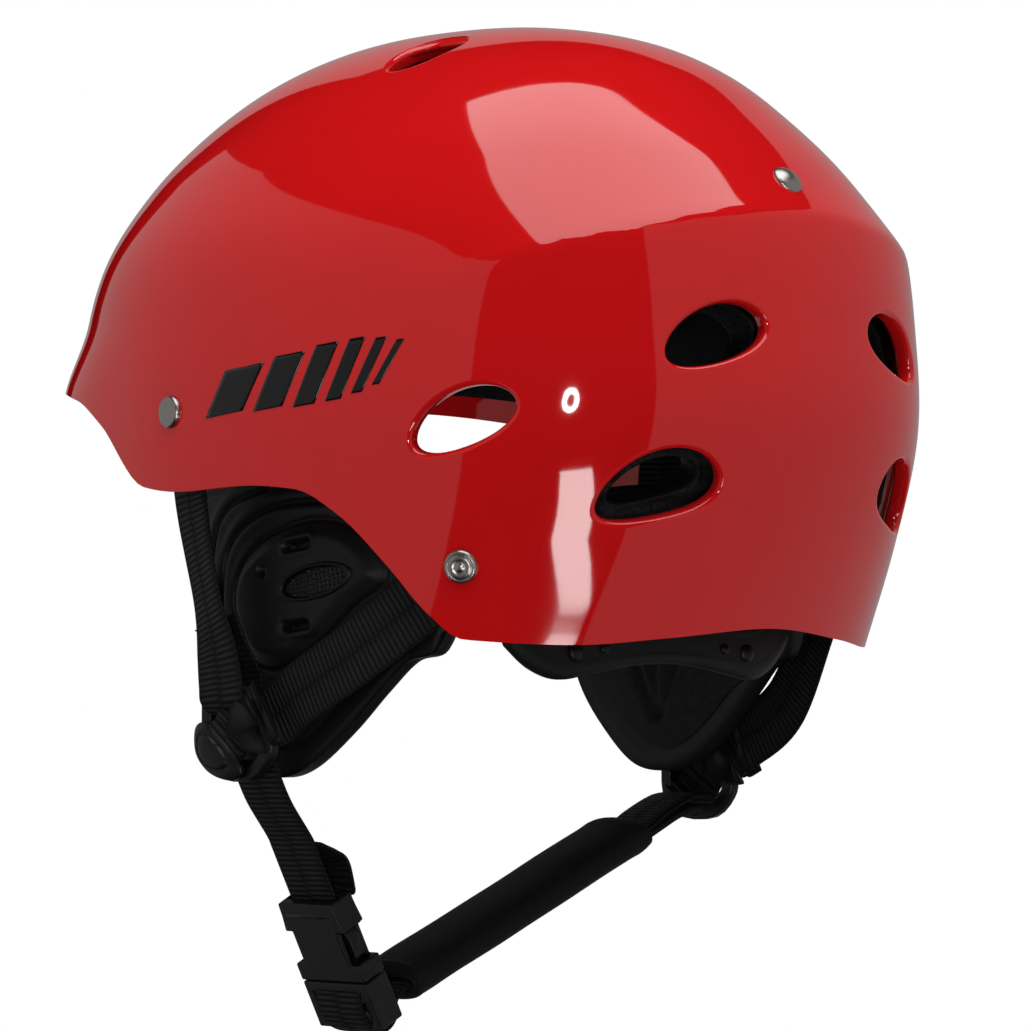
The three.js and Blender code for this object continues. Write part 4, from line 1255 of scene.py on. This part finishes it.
# ---- comfort pads ----
def swell(piece, pressure=4.0, cap=3.0, voxel=3.0):
    """Blows a pad up a little as cloth, no further than the cap, and keeps the result."""
    bpy.context.view_layer.objects.active = piece
    remesh = piece.modifiers.new("remesh", "REMESH")
    remesh.mode, remesh.voxel_size = "VOXEL", voxel * MM
    depsgraph = bpy.context.evaluated_depsgraph_get()
    start = bpy.data.meshes.new_from_object(piece.evaluated_get(depsgraph))
    piece.modifiers.clear()
    piece.data = start
    before = np.array([v.co for v in start.vertices], float)
    after = before
    cloth = piece.modifiers.new("cloth", "CLOTH")
    cloth.settings.use_pressure = True
    cloth.settings.uniform_pressure_force = pressure
    cloth.settings.effector_weights.gravity = 0
    for number in range(1, 21):
        bpy.context.scene.frame_set(number)
    blown = piece.evaluated_get(bpy.context.evaluated_depsgraph_get()).data
    after = np.array([v.co for v in blown.vertices], float)
    piece.modifiers.clear()
    bpy.context.scene.frame_set(1)
    moved = after - before
    far = np.linalg.norm(moved, axis=1, keepdims=True)
    moved *= np.minimum(1, cap * MM / np.maximum(far, 1e-9))
    bm = bmesh.new()
    bm.from_mesh(start)
    place(bm, before + moved)
    for _ in range(3):
        bmesh.ops.smooth_vert(
            bm, verts=bm.verts, factor=0.5, use_axis_x=True, use_axis_y=True, use_axis_z=True,
        )
    for face in bm.faces:
        face.smooth = True
    bm.to_mesh(start)
    bm.free()
    finer = piece.modifiers.new("finer", "SUBSURF")
    finer.levels = finer.render_levels = 1
    return piece


def wall_pad(name, node, angles, depths, layers, cap=2.0):
    """A cushion on the liner's inner wall between two angles, two depths and two layers."""
    bm = bmesh.new()
    bmesh.ops.create_cube(bm, size=2)
    bmesh.ops.subdivide_edges(bm, edges=bm.edges, cuts=11, use_grid_fill=True)
    co = coordinates(bm)
    u, v, w = co.T
    corner = 1 - 0.12 * np.clip(np.abs(u * v) - 0.35, 0, 1) / 0.65
    u, v = u * corner, v * corner
    slim = 1 - 0.55 * np.maximum(np.abs(u), np.abs(v)) ** 5
    angle = np.mean(angles) + u * (angles[1] - angles[0]) / 2 * 0.97
    depth = np.mean(depths) + v * (depths[1] - depths[0]) / 2 * 0.97
    middle, half = np.mean(layers), (layers[1] - layers[0]) / 2 * 0.8
    place(bm, under(flat_at(angle, depth), middle - w * half * slim, plain=True))
    pad = as_piece(bm, name, "helmet", PAD_CLOTH, "pad_fabric", (node,), outward=True)
    swell(pad, cap=cap)


def crown_pad():
    def spot(u, v, share, level):
        roof = 6.2 - u * u / 138 - v * v / 330
        slim = 1 - 0.6 * share**6
        return u, v, roof / 2 + level * slim * (roof / 2 - 0.2)

    oval = [(22.4 * math.cos(t), 33.2 * math.sin(t)) for t in np.linspace(0, 2 * math.pi, 16, endpoint=False)]
    bm = lens(oval, (0, 0), 20, 72, spot, back_rings=20)
    pad = as_piece(bm, "crown_cushion", "helmet", PAD_CLOTH, "pad_fabric", ("crown_pad",), outward=True)


def comfort_pads():
    crown_pad()
    wall_pad("front_cushion", "front_pad", (-34, 34), (66, 100), (LINER_IN + 2, PAD_IN + 1))
    wall_pad("rear_cushion", "rear_pad", (169, 191), (92, 158), (LINER_IN + 2, PAD_IN + 2))
    for word, angles in (("left", (66, 108)), ("right", (-108, -66))):
        wall_pad(f"{word}_cushion", f"{word}_pad", angles, (72, 112), (LINER_IN + 1.6, PAD_IN + 1))


# ---- nape cradle ----
CRADLE_Y = 73.5
CRADLE_HALF = 60
CRADLE_BOW = 6
CRADLE_LOW = ((0, -170), (14, -170.8), (30, -173.2), (42, -174.8), (52, -171.5), (60, -165))
CRADLE_HIGH = ((0, -158), (20, -157), (42, -156), (50, -150), (60, -141.5))


def through(points, x):
    """A smooth height over x through a few points."""
    line = spline(points, 200)
    return np.interp(x, line[:, 0], line[:, 1])


def bow(x):
    """How far the cradle's middle stands behind its ends."""
    return CRADLE_BOW * (1 - (x / CRADLE_HALF) ** 2)


def cradle_band(name, node, half, layers, edges, material, slot):
    """A bowed band between two layers, from its lower edge to its upper one, both functions of x."""
    bm = bmesh.new()
    bmesh.ops.create_grid(bm, x_segments=64, y_segments=12, size=1)
    made = bmesh.ops.duplicate(bm, geom=list(bm.verts) + list(bm.edges) + list(bm.faces))
    for v in (g for g in made["geom"] if isinstance(g, bmesh.types.BMVert)):
        v.co.z = 1
    bmesh.ops.bridge_loops(bm, edges=[e for e in bm.edges if e.is_boundary])
    co = coordinates(bm)
    u, v, w = co.T
    x = u * half
    low, high = edges[0](np.abs(x)), edges[1](np.abs(x))
    z = (low + high) / 2 + v * (high - low) / 2
    rounded = 1 - np.abs(v) ** 6 * 0.6
    rib = 0.5 * np.exp(-((np.abs(v) - 0.72) / 0.09) ** 2)
    out = (layers[1] - layers[0]) / 2 * rounded + rib
    y = CRADLE_Y + bow(x) + np.mean(layers) + (w * 2 - 1) * out
    place(bm, np.stack([x, y, z], axis=1))
    return as_piece(bm, name, "nape_band", material, slot, (node,), outward=True)


def nape_cradle():
    edges = (lambda x: through(CRADLE_LOW, x), lambda x: through(CRADLE_HIGH, x))
    cradle_band("nape_band_moulding", "nape_cradle", CRADLE_HALF, (-2.3, 2.3), edges, EAR_FOAM, "ear_foam")
    edges = (lambda x: through(CRADLE_LOW, x) + 4, lambda x: 0 * x - 160)
    pad = cradle_band("nape_cushion", "nape_pad", 45, (-5.4, -2.6), edges, PAD_CLOTH, "pad_fabric")
    stud = ((0, 1.2), (1.4, 1.1), (2.2, 0.8), (2.7, 0.2), (2.7, -0.8), (0, -0.8))
    for word, side in SIDES:
        for label, x, z, size in (("stud", 37, -166.8, 1), ("dimple", 26, -165.6, 0.6)):
            bm = turned(stud, 32)
            bmesh.ops.scale(bm, vec=(size,) * 3, verts=bm.verts)
            bmesh.ops.rotate(bm, cent=(0, 0, 0), matrix=Matrix.Rotation(-math.pi / 2, 3, "X"), verts=bm.verts)
            bmesh.ops.translate(bm, vec=(side * x, CRADLE_Y + bow(x) + 2.6, z), verts=bm.verts)
            as_piece(bm, f"nape_{label}_{word}", "nape_band", PLASTIC, "plastic_black", outward=True)
        eased_copy(f"nape_hanger_{word}", f"nape_hanger_{word}_plate", "helmet", "plastic_black", 0.7, 3)
        eased_copy(f"nape_pin_{word}", f"nape_pin_{word}_turned", "helmet", "rivet_metal", 0.3, 2, METAL)


# ---- side marking: slanted bars that thin out towards the rear ----
MARK_BARS = ((6.4, 13, 1.7), (4.6, 15, 1.6), (3.2, 17, 1.5), (2.2, 17, 1.4), (1.5, 15, 1.3), (1.0, 12, 0))
MARK_START = 91.0


def side_marking():
    for word, side in SIDES:
        bm = bmesh.new()
        start = MARK_START
        for wide, high, gap in MARK_BARS:
            made = bmesh.ops.create_grid(bm, x_segments=10, y_segments=10, size=1)["verts"]
            middle = start + wide / 2
            for v in made:
                slant = 1.6 * v.co.y
                angle = middle + v.co.x * wide / 2 + slant
                depth = 118 - 0.28 * (angle - 90) - v.co.y * high / 2
                point = under(flat_at(angle, depth), -0.16)[0]
                v.co = (point[0] * side, point[1], point[2])
            start += wide + gap
        bmesh.ops.recalc_face_normals(bm, faces=bm.faces)
        bm.normal_update()
        if next(iter(bm.faces)).normal.x * side < 0:
            bmesh.ops.reverse_faces(bm, faces=bm.faces)
        bmesh.ops.solidify(bm, geom=list(bm.faces), thickness=0.12)
        as_piece(bm, f"side_marking_{word}", "helmet", INK, "shell_red", outward=True)


rivets()
shell_straps()
chin_webbing()
chin_sleeve()
divider_levers()
buckle()
ear_pads()
comfort_pads()
nape_cradle()
side_marking()


# ---- stage ----
AROUND = 0.5  # how bright the surroundings are for the object
CENTRE = Vector((0, 0, -0.05))
FLOOR_Z = -1.4
RING = {"lamps": 14, "radius": 0.07, "azimuth": 41, "elevation": -2.6}


def aim(obj, target):
    obj.rotation_euler = (target - obj.location).to_track_quat("-Z", "Y").to_euler()


def towards(azimuth, elevation):
    a, e = math.radians(azimuth), math.radians(elevation)
    return Vector((math.cos(a) * math.cos(e), math.sin(a) * math.cos(e), math.sin(e)))


def panel(name, place_at, size, bright, gloss_only=True):
    """A flat light of so many metres, turned towards the object's middle."""
    lamp = bpy.data.lights.new(name, "AREA")
    lamp.shape = "RECTANGLE"
    lamp.size, lamp.size_y = size
    lamp.energy = bright * math.pi * size[0] * size[1]
    obj = bpy.data.objects.new(name, lamp)
    obj.location = place_at
    aim(obj, CENTRE)
    obj.visible_camera = False
    obj.visible_diffuse = not gloss_only
    bpy.context.scene.collection.objects.link(obj)
    return obj


def staged_sheet(name, cuts, spot, look):
    """A sheet of the studio. spot(u, v) places it, each from -1 to 1."""
    bm = bmesh.new()
    bmesh.ops.create_grid(bm, x_segments=cuts[0], y_segments=cuts[1], size=1)
    for v in bm.verts:
        v.co = spot(v.co.x, v.co.y)
    mesh = bpy.data.meshes.new(name)
    bm.to_mesh(mesh)
    bm.free()
    mesh.materials.append(look.material)
    obj = bpy.data.objects.new(name, mesh)
    bpy.context.scene.collection.objects.link(obj)
    return obj


def glowing(name, bright, spot, cuts=(48, 2)):
    """A bent sheet that only shows as a reflection."""
    look = Finish(name, (0, 0, 0), 1.0, Emission_Color=(1, 1, 1, 1), Emission_Strength=bright)
    obj = staged_sheet(name, cuts, spot, look)
    obj.visible_camera = obj.visible_diffuse = obj.visible_shadow = False


STRIP_AWAY = 1.655
STRIP_SIDES = (((40.7, -20.2), (46.6, -29.0), (56.8, -35.2)), ((52.0, -21.7), (61.5, -32.5), (69.1, -37.7)))


def strip_spot(u, v):
    """A narrow slanted strip below the camera. Each side has an azimuth and elevation at its top, middle
    and bottom."""
    first, second = ([CENTRE + STRIP_AWAY * towards(*spot) for spot in side] for side in STRIP_SIDES)
    top, middle, bottom = (a.lerp(b, (1 + u) / 2) for a, b in zip(first, second))
    t = 1 - v
    return top * (1 - t) * (2 - t) / 2 + middle * t * (2 - t) + bottom * t * (t - 1) / 2


def studio_floor():
    pale = Finish("studio_floor", (0.86, 0.86, 0.86), 0.9)
    seen = pale.tree.nodes.new("ShaderNodeLightPath")
    pale.shader.inputs["Emission Color"].default_value = (1, 1, 1, 1)
    pale.tree.links.new(seen.outputs["Is Camera Ray"], pale.shader.inputs["Emission Strength"])
    floor = staged_sheet("studio_floor", (8, 8), lambda u, v: (8 * u, 8 * v, FLOOR_Z), pale)
    floor.visible_glossy = False


def surroundings():
    world = bpy.data.worlds.new("studio_world")
    world.use_nodes = True
    background = world.node_tree.nodes["Background"]
    seen = world.node_tree.nodes.new("ShaderNodeLightPath")
    backdrop = remap(world.node_tree, seen.outputs["Is Camera Ray"], 0, 1, AROUND, 1.0)
    world.node_tree.links.new(backdrop, background.inputs["Strength"])
    background.inputs["Color"].default_value = (1, 1, 1, 1)
    world.cycles_visibility.glossy = False
    bpy.context.scene.world = world


def ring_lamps():
    """A ring of small lamps beside the camera, which shows as a small bright ring."""
    middle = CENTRE + 1.5 * towards(RING["azimuth"], RING["elevation"])
    across, up = 0.8 * Vector((-math.sin(0.72), math.cos(0.72), 0)), Vector((0, 0, 1))
    for k in range(RING["lamps"]):
        around = 2 * math.pi * k / RING["lamps"]
        lamp = panel(f"ring_lamp_{k}", middle, (0.03, 0.03), 70)
        lamp.location += RING["radius"] * (math.cos(around) * across + math.sin(around) * up)


def studio():
    studio_floor()
    surroundings()
    top = panel("top_softbox", Vector((0.282, 0.451, 1.2)), (1.6, 1.3), 2.4, gloss_only=False)
    top.rotation_euler = (0, 0, math.radians(38))
    left = panel("left_card", CENTRE + 1.05 * towards(-50, 0), (3.1, 2.1), 0.3)
    left.location += 0.2 * towards(40, 0)
    left.rotation_euler = (math.pi / 2, 0, math.radians(40))
    glowing("wrap_card", 0.3,
            lambda u, v: CENTRE + 1.35 * towards(160 + 88 * u, 0) + Vector((0, 0, 1.18 * v - 0.02)))
    glowing("low_strip", 9, strip_spot, (2, 12))
    ring_lamps()
    bpy.context.scene.view_settings.view_transform = "Standard"


def camera():
    look_at = Vector((-11.65, 4.96, -123.5)) * MM
    data = bpy.data.cameras.new("camera")
    data.lens = 167.6
    data.sensor_width = 36
    data.clip_end = 30
    obj = bpy.data.objects.new("camera", data)
    obj.location = look_at + 1.5 * towards(45.47, -1.978)
    aim(obj, look_at)
    bpy.context.scene.collection.objects.link(obj)
    bpy.context.scene.camera = obj


studio()
camera()
